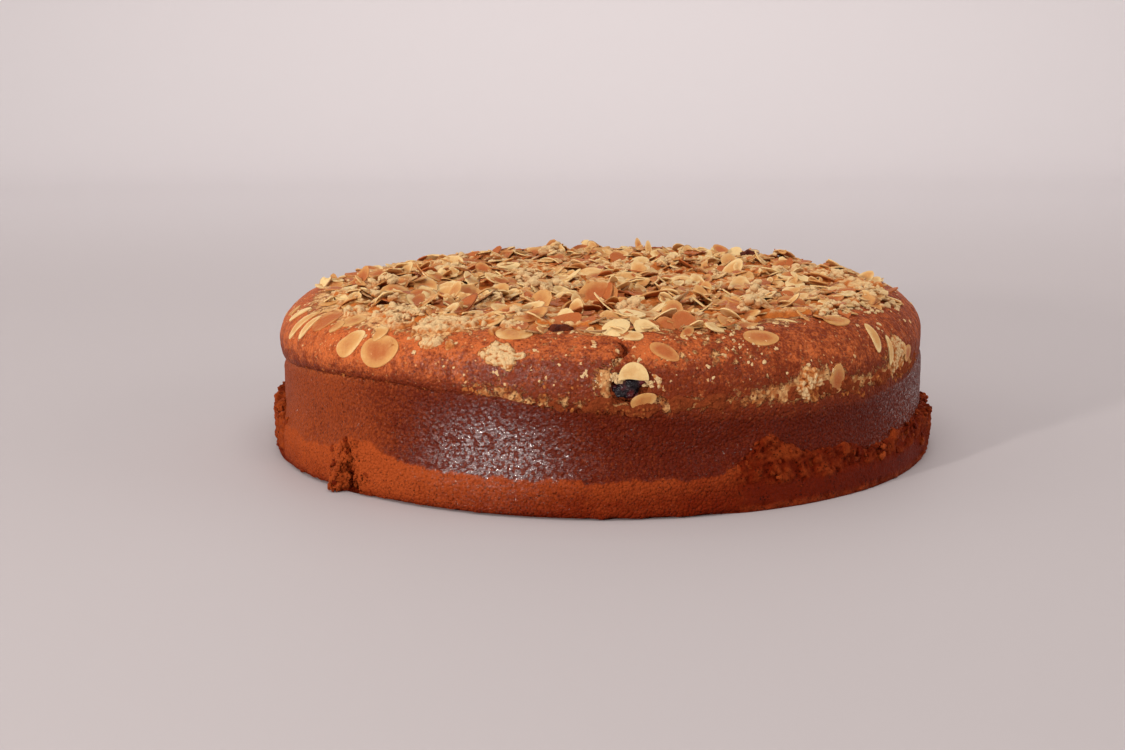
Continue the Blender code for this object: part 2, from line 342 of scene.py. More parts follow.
def top_height(radius, azimuth):
    wide, middle, high = shoulder(azimuth)
    dish = RIDGE_HEIGHT - DISH_DEPTH * (1 - (radius / RIDGE_RADIUS) ** 2)
    across = np.clip((radius - RIDGE_RADIUS) / wide, 0, 1)
    return np.where(radius <= RIDGE_RADIUS, dish, middle + high * np.sqrt(1 - across * across))


def flare(azimuth):
    """How far the side spreads smoothly to the foot: 1 at the front, 0 where the foot is torn off."""
    front = smooth(azimuth, -78, -66) * (1 - 0.45 * smooth(azimuth, 17, 26))
    return front * (1 - smooth(azimuth, 60, 76)) + 0.5 * smooth(np.abs(azimuth), 104, 122)


def flush(azimuth):
    """1 where the torn ring round the foot is not raised at all, so that only its colour shows."""
    return between(azimuth, -70, -58, 15, 23) * (1 - facing(azimuth, GAP_AZIMUTH, 4.6))


def chance(corner, seed):
    """A fixed random number from -1 to 1 for each whole-numbered corner."""
    x, y, z = (corner[..., i].astype(np.int64) for i in range(3))
    mixed = (x * 374761393 + y * 668265263 + z * 1274126177 + seed * 974634777) & 0xFFFFFFFF
    mixed = ((mixed ^ (mixed >> 13)) * 1103515245) & 0xFFFFFFFF
    mixed = ((mixed ^ (mixed >> 15)) * 668265263) & 0xFFFFFFFF
    return (mixed ^ (mixed >> 16)) / 2.0**31 - 1


def lumps(points, size, seed, octaves=1):
    """Soft noise from -1 to 1 with lumps of a size in metres, and finer ones in it."""
    total, weight = 0.0, 0.0
    for octave in range(octaves):
        q = points / size * 2.0**octave + 17.3 * octave
        low = np.floor(q)
        t = q - low
        t = t * t * (3 - 2 * t)
        value = 0.0
        for i in (0, 1):
            for j in (0, 1):
                for k in (0, 1):
                    share = (
                        (t[..., 0] if i else 1 - t[..., 0])
                        * (t[..., 1] if j else 1 - t[..., 1])
                        * (t[..., 2] if k else 1 - t[..., 2])
                    )
                    value = value + share * chance(low + (i, j, k), seed + octave)
        total = total + value / 2.0**octave
        weight += 1 / 2.0**octave
    return total / weight


def cobbles(points, size, seed):
    """Rounded domes packed side by side on a flat sheet, 0 in the gaps and up to 1 on top."""
    q = points[..., :2] / size
    low = np.floor(q)
    near = np.full(q.shape[:-1], 9.0)
    for i in (-1, 0, 1):
        for j in (-1, 0, 1):
            corner = np.concatenate([low + (i, j), 0 * low[..., :1]], -1)
            jitter = np.stack([chance(corner, seed), chance(corner, seed + 7)], -1)
            near = np.minimum(near, np.sum((corner[..., :2] + 0.5 + 0.45 * jitter - q) ** 2, -1))
    return np.clip(1 - near / 0.65, 0, 1)


def azimuth_of(place):
    return np.degrees(np.arctan2(place[:, 0], -place[:, 1]))


def climb_of(place, azimuth):
    """Degrees up the shoulder's ellipse: 0 where it is widest and 90 on the ridge."""
    wide, middle, high = shoulder(azimuth)
    across = (np.hypot(*place[:, :2].T) - RIDGE_RADIUS) / wide
    return np.degrees(np.arctan2((place[:, 2] - middle) / high, across))


def around(azimuth, radius, height):
    """Points at an azimuth, a radius and a height."""
    a = np.radians(azimuth)
    radius, height = np.broadcast_arrays(radius, height)
    return np.stack([radius * np.sin(a), -radius * np.cos(a), height + 0 * a], -1)


# Rows down the outline: from the middle of the top out to the ridge, over the shoulder, through
# the crease, down the side and in under the foot. Each row is (zone, place in the zone).
TOP_ROWS = 12
SHOULDER_ROWS = 50
UNDERCUT_ROWS = 14
WALL_ROWS = 46
UNDER_ROWS = 5
BODY_COLUMNS = 720
BODY_FOOT_RADIUS = 0.1255
FILLED_FOLD = (-44, -14, 62, 74)  # azimuths between which the fold is filled up

zones = [("top", i / TOP_ROWS) for i in range(TOP_ROWS)]
zones += [("shoulder", i / SHOULDER_ROWS) for i in range(SHOULDER_ROWS)]
zones += [("undercut", i / UNDERCUT_ROWS) for i in range(UNDERCUT_ROWS)]
zones += [("wall", i / WALL_ROWS) for i in range(WALL_ROWS)]
zones += [("under", i / UNDER_ROWS) for i in range(UNDER_ROWS + 1)]


def body_outline(azimuth):
    """Radius and height of every row at each azimuth, one column for an azimuth."""
    wide, middle, high = shoulder(azimuth)
    crease, ring, out = crease_height(azimuth), ring_top(azimuth), wander(azimuth)
    spread = flare(azimuth)
    filled = between(azimuth, *FILLED_FOLD)
    fold = CREASE_RADIUS + 0.0010 * filled
    crease = crease + 0.0013 * filled * lumps(around(azimuth, WALL_RADIUS, 0), 0.011, 38, 2)
    rows = []
    for zone, t in zones:
        if zone == "top":
            radius = RIDGE_RADIUS * t**0.7 + 0 * azimuth
            height = top_height(radius, azimuth)
        elif zone == "shoulder":
            climb = math.radians(90 * (1 - t))
            radius = RIDGE_RADIUS + wide * math.cos(climb)
            height = middle + high * math.sin(climb)
        elif zone == "undercut":
            radius = RIDGE_RADIUS + wide - (RIDGE_RADIUS + wide - fold - out) * t**2.4
            height = middle + (crease - middle) * (1 - (1 - t) ** 1.5)
        elif zone == "wall":
            height = crease * (1 - t)
            below = crease - height
            foot = smooth(ring + 0.0085 - height, 0, 0.0120) * spread
            radius = fold + out + (WALL_RADIUS - fold) * smooth(below, 0, 0.0030)
            radius = radius + foot * (BASE_RADIUS - WALL_RADIUS)
            radius = radius - 0.0007 * smooth(height, 0.0030, 0.0) * spread
        else:
            radius = BODY_FOOT_RADIUS * (1 - t) + 0 * azimuth
            height = 0.0004 + 0 * azimuth
        rows.append(np.stack([radius, height], -1))
    return np.stack(rows)


def spun(name, outline, columns, closed=False):
    """Spins a plain outline round the axis, then sets each point from its own row and azimuth."""
    plain = outline(np.zeros(1))[:, 0]
    mesh = bpy.data.meshes.new(name)
    points = [(radius, 0, height) for radius, height in plain.tolist()]
    edges = [(i, i + 1) for i in range(len(points) - 1)]
    if closed:
        edges.append((len(points) - 1, 0))
    mesh.from_pydata(points, edges, [])
    mesh.attributes.new("row", "FLOAT", "POINT").data.foreach_set("value", np.arange(len(points)))
    thing = bpy.data.objects.new(name, mesh)
    scene.collection.objects.link(thing)
    deselect()
    bpy.context.view_layer.objects.active = thing
    screw = thing.modifiers.new("Spin", "SCREW")
    screw.steps = screw.render_steps = columns
    screw.use_merge_vertices = True
    screw.merge_threshold = 0.00001
    bpy.ops.object.modifier_apply(modifier="Spin")
    place, row = points_of(thing), np.rint(values_of(thing, "row")).astype(int)
    azimuth = np.round(azimuth_of(place) * columns / 360) * 360 / columns
    steps = np.arange(columns) * 360 / columns
    steps = np.where(steps > 180, steps - 360, steps)
    shaped = outline(steps)
    column = np.rint(azimuth * columns / 360).astype(int) % columns
    radius, height = shaped[row, column].T
    set_points(thing, around(azimuth, radius, height))
    return thing, azimuth, row


def points_of(thing):
    place = np.empty(3 * len(thing.data.vertices))
    thing.data.vertices.foreach_get("co", place)
    return place.reshape(-1, 3)


def set_points(thing, place):
    thing.data.vertices.foreach_set("co", np.asarray(place, dtype=np.float32).ravel())
    thing.data.update()


def normals_of(thing):
    way = np.empty(3 * len(thing.data.vertices), dtype=np.float32)
    thing.data.vertex_normals.foreach_get("vector", way)
    return way.reshape(-1, 3).astype(float)


def values_of(thing, name):
    data = thing.data.attributes[name].data
    value = np.empty(len(data), dtype=np.float32)
    data.foreach_get("value", value)
    return value


def set_values(thing, name, value):
    """Writes one number for each point, which a material can read."""
    old = thing.data.attributes.get(name)
    made = old or thing.data.attributes.new(name, "FLOAT", "POINT")
    made.data.foreach_set("value", np.asarray(value, dtype=np.float32))


body, azimuth, row = spun("cake_body", body_outline, BODY_COLUMNS)
place, way = points_of(body), normals_of(body)
zone_of_row = np.array([zone for zone, _ in zones])[row]
height = place[:, 2]
crease = crease_height(azimuth)
folded = 1 - between(azimuth, *FILLED_FOLD)
on_top = np.isin(zone_of_row, ("top", "shoulder", "undercut"))
crusty = smooth(height - crease + 0.0018 * lumps(place, 0.006, 37, 2) * (1 - folded), -0.0030, 0.0045)
swell = 0.00060 * lumps(place, 0.016, 3, 2) + 0.00030 * lumps(place, 0.0042, 5, 2)
pressed = 0.00022 * lumps(place, 0.012, 7, 2) + 0.00010 * lumps(place, 0.0030, 9, 1)
rise = np.where(zone_of_row == "under", 0.0, crusty * swell + (1 - crusty) * pressed)
climb = climb_of(place, azimuth)

# The split in the crust above the open berry, and the hole that the berry sits in.
SPLIT_AZIMUTH = 3.1
SPLIT_CLIMBS = (24, 32, 56, 66)
SPLIT_DEPTH = 0.0040
HOLE_AZIMUTH = 4.2
HOLE_HEIGHT = 0.0440
HOLE_HALF_WIDTH = 0.0080
HOLE_HALF_HEIGHT = 0.0062
HOLE_DEPTH = 0.0080


def hole_reach(azimuth, height):
    """Distance from the middle of the berry's hole, 1 at its edge."""
    across = np.radians(away(azimuth, HOLE_AZIMUTH)) * WALL_RADIUS
    return np.hypot(across / HOLE_HALF_WIDTH, (height - HOLE_HEIGHT) / HOLE_HALF_HEIGHT)


split_way = SPLIT_AZIMUTH + 0.9 * np.sin(np.radians(climb * 9))
split_up = between(climb, *SPLIT_CLIMBS) * on_top
split = facing(azimuth, split_way, 0.40) * split_up
rise = rise - SPLIT_DEPTH * split + 0.0009 * facing(azimuth, split_way + 1.5, 1.2) * split_up
hole = 1 - smooth(hole_reach(azimuth, height) + 0.30 * lumps(place, 0.0035, 21, 2), 0.55, 1.0)
hole = hole * (np.abs(away(azimuth, HOLE_AZIMUTH)) < 12) * (height > 0.03)
rise = rise - HOLE_DEPTH * hole

# Where the skin came away with the tin, below a ragged line, the crumb of the cake is bare.
TEAR_AZIMUTH = -42.8
TEAR_HALF_DEGREES = 1.2
TEAR_HEIGHT = 0.0185
BODY_TEAR_DEPTH = 0.0055


def tear_depth(azimuth, height, place):
    """The split at the foot, 1 at its bottom: it leans to the left as it rises."""
    tear_middle = TEAR_AZIMUTH - 1.2 * (height / TEAR_HEIGHT) ** 2 + 0.5 * lumps(place, 0.004, 61, 2)
    width = TEAR_HALF_DEGREES * np.clip(1.2 - height / TEAR_HEIGHT, 0.12, 1.2)
    tear = 1 - smooth(np.abs(away(azimuth, tear_middle)) / width, 0.55, 1.15)
    return tear * (1 - smooth(height, TEAR_HEIGHT - 0.004, TEAR_HEIGHT))


def bareness(azimuth, height, place):
    """1 where the crumb is bare below the ragged line, and 0 where the skin still covers it."""
    ragged = 0.0016 * lumps(place, 0.0080, 41, 3) + 0.0012 * lumps(place, 0.0026, 42, 2)
    edge = ring_top(azimuth) + ragged
    return smooth(edge - height, -0.0014, 0.0016)


wall_like = (zone_of_row == "wall") * 1.0
bare = bareness(azimuth, height, place) * wall_like
rise = rise + 0.00032 * bare * lumps(place, 0.0026, 47, 2)
rise = rise + 0.0007 * lumps(place, 0.0042, 49, 2) * (1 - smooth(height, 0.0010, 0.0030)) * wall_like
rise = rise - BODY_TEAR_DEPTH * tear_depth(azimuth, height, place) * wall_like
place = place + way * rise[:, None]
place[:, 2] = np.maximum(place[:, 2], 0.0)
set_points(body, place)

# Where crumble stuck to the shoulder: node, azimuth, climb, half width, half height, seed, browning.
CRUMB_PATCHES = [
    ("crumble_front", -16.4, 34, 0.0078, 0.0064, 1, 0.30),
    ("crumble_left", -29.0, 45, 0.0055, 0.0042, 2, 0.25),
    ("crumble_right", 34.0, -4, 0.0064, 0.0070, 3, 0.66),
    ("crumble_far_right", 58.4, 4, 0.0060, 0.0072, 4, 0.60),
    ("crumble_back_right", 124, 14, 0.0085, 0.0060, 5, 0.25),
    ("crumble_back_left", -146, 22, 0.0075, 0.0055, 6, 0.25),
]
PATCH_CLIMB_LENGTH = 0.00030  # metres up a patch to a degree of climb


def in_patch(patch, azimuth, climb, place):
    """Distance from the middle of a crumb patch, 1 at its ragged edge."""
    _, middle, middle_climb, reach_round, reach_up, seed, _ = patch
    round_it = np.radians(away(azimuth, middle)) * WALL_RADIUS / reach_round
    up = (climb - middle_climb) * PATCH_CLIMB_LENGTH / reach_up
    return np.hypot(round_it, up) + 0.55 * lumps(place, 0.0050, 100 + seed, 2)


# Other spots where it fell more thickly: azimuth, spread, height, spread, amount.
LOW_SPOTS = [
    (36, 6.5, 0.0425, 0.0062, 0.50),
    (57, 5, 0.0460, 0.0075, 0.50),
    (125, 13, 0.0440, 0.0065, 0.60),
    (-148, 16, 0.0470, 0.0060, 0.60),
    (-16, 12, 0.0415, 0.0060, 0.34),
    (0.6, 2, 0.0462, 0.0042, 0.75),
]
# The same up the shoulder: azimuth, spread, climb, spread, amount.
HIGH_SPOTS = [
    (20, 13, 44, 32, 0.44),
    (-8, 14, 38, 30, 0.34),
]


def crumble_share(azimuth, climb, height):
    """How much of the crust is hidden by crumble that fell on it before baking, from 0 to 1."""
    share = smooth(climb, 58, 86) * 0.50
    share = share + smooth(climb, 34, 62) * between(azimuth, -84, -66, -30, -18) * 0.65
    in_fold = 0.34 + 0.36 * smooth(azimuth, -2, 10) - 0.2 * facing(azimuth, 20, 5)
    share = share + hump(height, 0.0385, 0.0036) * between(azimuth, -34, -12, 62, 74) * in_fold
    share = share + smooth(np.abs(azimuth), 84, 100) * hump(climb, 40, 30) * 0.32
    for measure, spots in ((height, LOW_SPOTS), (climb, HIGH_SPOTS)):
        for middle, spread, level, level_spread, amount in spots:
            spot = facing(azimuth, middle, spread) * hump(measure, level, level_spread)
            share = share + spot * amount
    return np.clip(share, 0, 1)


share = crumble_share(azimuth, climb, height) * on_top
for patch in CRUMB_PATCHES:
    reach = in_patch(patch, azimuth, climb, place)
    share = np.maximum(share, 1.4 * (1 - smooth(reach, 0.55, 1.05)) * on_top)
patchy = lumps(place, 0.011, 31, 3) * (share < 0.9)
browning = (
    0.45
    + 0.25 * lumps(place, 0.030, 33, 2)
    # Darker low on the shoulder towards the fold.
    + 0.45 * hump(height, 0.0400, 0.0040)
    + 0.50 * smooth(height, 0.0430, 0.0370) * (1 - folded)
    + 0.12 * between(azimuth, 10, 22, 90, 110)
    + 0.16 * between(azimuth, 30, 50, 90, 110)
    # Darker low on the front of the shoulder.
    + 0.70 * facing(azimuth, -2, 22) * (1 - smooth(climb, 14, 42))
    # The split is painted darker, as painted shade in the crack.
    + 0.90 * split
    + 0.55 * facing(azimuth, -7, 9) * hump(climb, 8, 18)
    - 0.60 * facing(azimuth, 7.5, 2.6) * hump(climb, 44, 16)
)
# The side is lighter at the left and darker towards the front and the right.
wall_dark = (
    0.30
    + 0.65 * smooth(azimuth, -54, -20)
    + 0.12 * lumps(place, 0.020, 35, 2)
    + 0.10 * between(azimuth, 6, 24, 48, 60)
)
behind = smooth(np.abs(azimuth), 84, 124)
wall_dark = wall_dark * (1 - behind) + 0.66 * behind
# The bare crumb is lighter at the left and darker towards the front and the right.
fresh_and_shade = (
    0.63
    - 0.35 * smooth(azimuth, -30, -4)
    - 0.12 * smooth(azimuth, 4, 18)
    + 0.15 * facing(azimuth, -37, 8)
    + 0.12 * lumps(place, 0.007, 67, 3)
    + 0.30 * smooth(height, 0.0040, 0.0125)
)
# It is darker towards the bottom.
fresh_and_shade = fresh_and_shade * (0.55 + 0.45 * smooth(height, 0.0010, 0.0042))
glossy = (
    0.016
    + 1.60 * facing(azimuth, -17, 8.5) * (1 - on_top) * hump(height, 0.019, 0.013)
    + 0.26 * facing(azimuth, -15, 14) * on_top * hump(climb, 15, 21)
    + 0.40 * facing(azimuth, 70, 17) * (1 - on_top)
    + 0.02 * lumps(place, 0.010, 69, 2)
)
for name, value in (
    ("crumble", share * (1 + 0.5 * patchy)),
    ("browned", np.where(on_top, browning, wall_dark)),
    ("crust", crusty),
    ("inside", hole * 1.3),
    ("glossy", glossy),
    ("bare", bare),
    ("fresh_and_shade", fresh_and_shade),
):
    set_values(body, name, np.clip(value, 0, 1))
body.data.shade_smooth()

CRUMB_DARK = (0.135, 0.0095, 0.0008, 1)
CRUMB_LIGHT = (0.345, 0.058, 0.0112, 1)
CRUMB_PORE = (0.035, 0.006, 0.0025, 1)
CRUST_GOLDEN = (0.54, 0.125, 0.032, 1)
CRUST_BROWN = (0.180, 0.027, 0.0075, 1)
SKIN_LIGHT = (0.29, 0.050, 0.0098, 1)
SKIN_DARK = (0.095, 0.0085, 0.0019, 1)
SKIN_PORE = (0.030, 0.005, 0.002, 1)
CREAM = (0.82, 0.49, 0.205, 1)
CREAM_TOASTED = (0.42, 0.140, 0.040, 1)
MOIST_DARK = (0.30, 0.075, 0.018, 1)
MOIST_LIGHT = (0.52, 0.20, 0.06, 1)


def bare_crumb(paint):
    """Colour of the torn sponge: light where fresh is high, with dark pores and specks."""
    where = paint.place
    fine, coarse = where.noise(1100, 3.0, 0.65), where.noise(300, 3.0, 0.6)
    light = (paint.attribute("fresh_and_shade") + (coarse - 0.5) * 0.45 + (fine - 0.5) * 0.7).step(0.0, 1.05)
    colour = light.mix(CRUMB_DARK, CRUMB_LIGHT)
    pores = (1 - where.cells(860).step(0.12, 0.36)) * where.noise(230).step(0.35, 0.7)
    return (pores * 0.8).mix(colour, CRUMB_PORE), fine, pores


crust_paint = Finish("browned_crust", Specular_IOR_Level=0.04)
where = crust_paint.place
crust, browned = crust_paint.attribute("crust"), crust_paint.attribute("browned")
fine, coarse = where.noise(1000, 3.0, 0.65), where.noise(260, 3.0, 0.6)
mottled = (browned + (coarse - 0.5) * 1.5 + (fine - 0.5) * 1.7).step(0.10, 1.0)
pressed = (browned + (fine - 0.5) * 1.7 + (coarse - 0.5) * 0.35).step(0.0, 1.05)
skin = crust.mix(pressed.mix(SKIN_LIGHT, SKIN_DARK), mottled.mix(CRUST_GOLDEN, CRUST_BROWN))
pores = (1 - where.cells(900).step(0.08, 0.30)) * where.noise(180).step(0.35, 0.75)
skin = (pores * (0.65 - crust * 0.10)).mix(skin, SKIN_PORE)
sprinkle = where.noise(330, 4.0, 0.65) + (where.noise(1100, 2.0) - 0.5) * 0.25
pale = (crust_paint.attribute("crumble") * 0.58 + sprinkle).step(0.74, 0.90)
cream = (where.noise(420, 2.0) - browned * 0.25).step(0.1, 0.55).mix(CREAM_TOASTED, CREAM)
skin = (pale * 0.85).mix(skin, cream)
speck = (1 - where.cells(480).step(0.10, 0.24)) * where.noise(150, 2.0).step(0.42, 0.58) * crust
skin = (speck * 0.55).mix(skin, cream)
moist = where.noise(420, 3.0).mix(MOIST_DARK, MOIST_LIGHT)
skin = crust_paint.attribute("inside").mix(skin, moist)
bare_here = crust_paint.attribute("bare") + (fine - 0.5) * 1.3 + (coarse - 0.5) * 1.2
bare_here = bare_here.step(0.25, 0.75)
skin = bare_here.mix(skin, bare_crumb(crust_paint)[0])
grain = where.cells(1000)
relief = grain * grain * (crust * 0.45 - 1.0) + where.noise(1500, 2.0, 0.6) * 0.3
crust_bumps = ((pores * -1.0, 0.0004), (relief, 0.0007), (pale, 0.0009), (coarse * crust, 0.0016))
crust_paint.paint(skin, (0.50 + pale * 0.2 + bare_here * 0.2).clamped(), crust_bumps)

# Syrup that boiled out glazes the lower front, and its uneven film glitters.
glint = where.noise(980, 0.0)
glaze_inputs = {
    "Base Color": skin,
    "Roughness": 0.14,
    "IOR": 2.1,
    "Specular IOR Level": 1.0,
    "Normal": glint.node("ShaderNodeBump", {}, {"Height": glint, "Distance": 0.0016}),
}
glaze = crust_paint.start.node("ShaderNodeBsdfPrincipled", {}, glaze_inputs)
matte = Value(crust_paint.tree, crust_paint.shader.outputs[0])
glossy = (crust_paint.attribute("glossy") * (1 - bare_here * 0.85) * (1 - pale)).clamped()
glossy = glossy * (where.noise(760, 0.0).step(0.42, 0.54) * 0.84 + 0.16)
both = glossy.node("ShaderNodeMixShader", {}, {0: glossy, 1: matte, 2: glaze})
surface = crust_paint.tree.nodes["Material Output"].inputs["Surface"]
crust_paint.tree.links.new(both.socket, surface)
body.data.materials.append(crust_paint.material)
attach(body, "root")
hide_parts("cake")

# ---- The torn ring round the foot --------------------------------------------------------------
# The lowest finger's width baked against the bare tin and clung to it. At the left, the right and
# the back its skin was torn off with a step, and it is split open at the front left.

FOOT_COLUMNS = 1320
FOOT_INNER_RADIUS = 0.1215
LEDGE_ROWS = 14
FACE_ROWS = 44
FLOOR_ROWS = 5
LEDGE_RADIUS = 0.1232
FLAP_AZIMUTH = -46.2
LIP_AZIMUTH = -39.6  # the smaller flap at the other side of the split
FLAP_RISE = 0.0044
LIP_RISE = 0.0016
FOOT_TEAR_DEPTH = 0.0052
FLUSH_SINK = 0.0022

foot_rows = [("ledge", 1 - i / LEDGE_ROWS) for i in range(LEDGE_ROWS)]
foot_rows += [("face", 1 - i / FACE_ROWS) for i in range(FACE_ROWS)]
foot_rows += [("floor", 1 - i / FLOOR_ROWS) for i in range(FLOOR_ROWS + 1)]


def foot_outline(azimuth):
    """The ring's outline from inside the cake, out over its ledge, down its face and back in."""
    out = wander(azimuth) - FLUSH_SINK * flush(azimuth)
    rim = around(azimuth, BASE_RADIUS, 0 * azimuth)
    ragged = 0.0013 * lumps(rim, 0.0090, 41, 2) + 0.0012 * lumps(rim, 0.0024, 43, 2)
    top = ring_top(azimuth) + ragged
    reach = 0.0012 * between(azimuth, 18, 28, 58, 72)
    rows = []
    for zone, t in foot_rows:
        if zone == "ledge":
            radius = BASE_RADIUS + out - reach - (BASE_RADIUS - LEDGE_RADIUS) * t
            height = top + 0.0010 * math.sin(math.pi * t) - 0.0006 * t
        elif zone == "face":
            radius = BASE_RADIUS + out - 0.0006 * (1 - t) ** 6 - reach * smooth(t, 0.45, 0.8)
            height = top * t
        else:
            radius = FOOT_INNER_RADIUS + (BASE_RADIUS - 0.0006 - FOOT_INNER_RADIUS + out) * t
            height = 0 * azimuth
        rows.append(np.stack([radius, height], -1))
    return np.stack(rows)


foot, azimuth, row = spun("torn_foot", foot_outline, FOOT_COLUMNS, closed=True)
place, way = points_of(foot), normals_of(foot)
height = place[:, 2]
zone_of_row = np.array([zone for zone, _ in foot_rows])[row]
outside = (zone_of_row != "floor") & (np.hypot(*place[:, :2].T) > WALL_RADIUS - 0.0015)
right = between(azimuth, 16, 24, 84, 98)
skinned = right * (1 - smooth(height + 0.0016 * lumps(place, 0.005, 51, 2), 0.0080, 0.0105))
skinned = skinned * (1 - 0.75 * smooth(azimuth, 58, 74))
torn = np.clip(1 - 0.92 * skinned, 0, 1) * smooth(height, -0.001, 0.002) * (1 - 0.7 * flush(azimuth))
crumbly = 0.0013 * lumps(place, 0.0046, 53, 3) + 0.0010 * lumps(place, 0.0019, 57, 2)
pits = np.clip(lumps(place, 0.0030, 54, 2) - 0.15, 0, 1) * 0.0022
rise = torn * (crumbly - pits) * outside
rise = rise + 0.0011 * lumps(place, 0.0024, 59, 2) * outside * (1 - smooth(height, 0.0012, 0.0040))

flap_reach = np.abs(away(azimuth, FLAP_AZIMUTH + 0.8 * lumps(place, 0.004, 62, 1)))
flap = (1 - smooth(flap_reach, 0.6, 2.2)) * (1 - smooth(height, 0.0015, 0.0125))
lip = facing(azimuth, LIP_AZIMUTH, 1.5) * (1 - smooth(height, 0.0015, 0.0110))
flap_relief = 1 + 0.55 * lumps(place, 0.0032, 63, 2)
rise = rise + 0.7 * pits * flap * outside
rise = rise - FOOT_TEAR_DEPTH * tear_depth(azimuth, height, place) * outside
rise = rise + (FLAP_RISE * flap + LIP_RISE * lip) * outside * flap_relief
outwards = np.stack([place[:, 0], place[:, 1], 0 * height], -1)
outwards = outwards / np.linalg.norm(outwards, axis=1)[:, None]
push = np.where((zone_of_row == "face")[:, None], outwards, way)
place = place + push * rise[:, None]
place[:, 2] = np.maximum(place[:, 2], 0.0)
set_points(foot, place)

# Lighter at the left and darker towards the front and the right.
fresh_and_shade = 0.57 - 0.32 * smooth(azimuth, -40, 20) + 0.16 * lumps(place, 0.008, 67, 3)
fresh_and_shade = np.where(np.abs(azimuth) > 98, 0.45, fresh_and_shade)
fresh_and_shade = fresh_and_shade - 0.04 * right * (1 - skinned) + 0.30 * facing(azimuth, 27.5, 3.2) * (height > 0.017)
# Raised crumb is painted lighter and pits darker, as painted light and shade.
fresh_and_shade = fresh_and_shade * (1 - 0.80 * skinned) + 350 * np.clip(rise, -0.0008, 0.0008)
# The flaps are lighter, and the ring is darker towards the bottom.
fresh_and_shade = (fresh_and_shade + 0.45 * flap + 0.30 * lip) * (0.30 + 0.70 * smooth(height, 0.0004, 0.0055))
# A thin bright line along the very bottom at the right is painted light, a glow through the thin edge.
fresh_and_shade = fresh_and_shade + 0.40 * right * hump(height, 0.0012, 0.0014)
set_values(foot, "fresh_and_shade", np.clip(fresh_and_shade, 0, 1))
set_values(foot, "torn", np.clip(torn, 0, 1))
foot.data.shade_smooth()

foot_paint = Finish("torn_crumb", Specular_IOR_Level=0.04)
crumb_colour, fine, pores = bare_crumb(foot_paint)
foot_rough = (0.66 - (1 - foot_paint.attribute("torn")) * 0.32 + fine * 0.1).clamped()
foot_bumps = ((pores * -1.0, 0.0006), (foot_paint.place.noise(700, 4.0, 0.7), 0.0014))
foot.data.materials.append(foot_paint.paint(crumb_colour, foot_rough, foot_bumps))
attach(foot, "root")

# ---- The bed of crumble on the top --------------------------------------------------------------
# Butter crumble was strewn over the batter and sank into it while it rose, so the top is an uneven
# sandy bed with lumps in it. It runs over the ridge on the left and thins out to specks.

BED_SPAN = 0.250
BED_SQUARES = 330
BED_DEPTH = 0.0003
BED_DIP = 0.0012
BED_SKIRT = 0.006
BED_RIM = 0.1052
BED_MARGIN = 0.0055  # kept beyond the rim for the ragged edge
BED_BROWN = (0.56, 0.155, 0.030, 1)
BED_PALE = (0.78, 0.50, 0.23, 1)


def bed_rim(azimuth):
    """Radius at which the bed ends, as far as its ragged edge is left out."""
    a = np.radians(azimuth)
    spill = 0.0052 * facing(azimuth, -46, 19) + 0.0058 * facing(azimuth, 66, 20)
    spill = spill + 0.0050 * facing(azimuth, 150, 30)
    return BED_RIM + spill + 0.0012 * np.sin(5 * a + 1.0) + 0.0008 * np.sin(9 * a)


def bed_surface(x, y):
    """Height of the bed, which dips under the crust outside its rim, and how proud it stands."""
    radius, azimuth = np.hypot(x, y), np.degrees(np.arctan2(x, -y))
    flat = np.stack([x, y, 0 * x], -1)
    ragged = 0.0050 * lumps(flat, 0.0075, 71, 3) + 0.0022 * lumps(flat, 0.0026, 72, 2)
    cover = smooth(bed_rim(azimuth) - radius + ragged, -0.0010, 0.0030)
    big = cobbles(flat, 0.0033, 75)
    small = cobbles(flat + 0.0004 * radius[..., None], 0.0018, 77)
    relief = 0.0009 * lumps(flat, 0.0110, 73, 1) + 0.0014 * big + 0.0008 * small
    height = top_height(radius, azimuth) + cover * (BED_DEPTH + relief) - (1 - cover) * BED_DIP
    return height, cover * (0.6 * big + 0.4 * small)


deselect()
squares = {"x_subdivisions": BED_SQUARES, "y_subdivisions": BED_SQUARES}
bpy.ops.mesh.primitive_grid_add(**squares, size=BED_SPAN)
bed = bpy.context.object
bed.name = "crumble_bed"
edit(bed, "FACE")
centres = np.empty(3 * len(bed.data.polygons))
bed.data.polygons.foreach_get("center", centres)
centres = centres.reshape(-1, 3)
beyond = np.hypot(*centres[:, :2].T) > bed_rim(azimuth_of(centres)) + BED_MARGIN
pick(bed, "polygons", lambda face: beyond[face.index])
bpy.ops.mesh.delete(type="FACE")
bpy.ops.object.mode_set(mode="OBJECT")
bed_place = points_of(bed)
bed_place[:, 2], proud = bed_surface(bed_place[:, 0], bed_place[:, 1])
set_values(bed, "proud", proud)
set_points(bed, bed_place)
edit(bed, "EDGE")
bpy.ops.mesh.select_non_manifold()
bpy.ops.mesh.extrude_region_move(TRANSFORM_OT_translate={"value": (0, 0, -BED_SKIRT)})
bpy.ops.mesh.edge_face_add()
bpy.ops.mesh.select_all(action="SELECT")
bpy.ops.mesh.normals_make_consistent(inside=False)
bpy.ops.object.mode_set(mode="OBJECT")
bed.data.shade_smooth()

bed_paint = Finish("crumble_bed", Specular_IOR_Level=0.05)
where = bed_paint.place
fine, coarse = where.noise(900, 3.0, 0.6), where.noise(90, 3.0, 0.6)
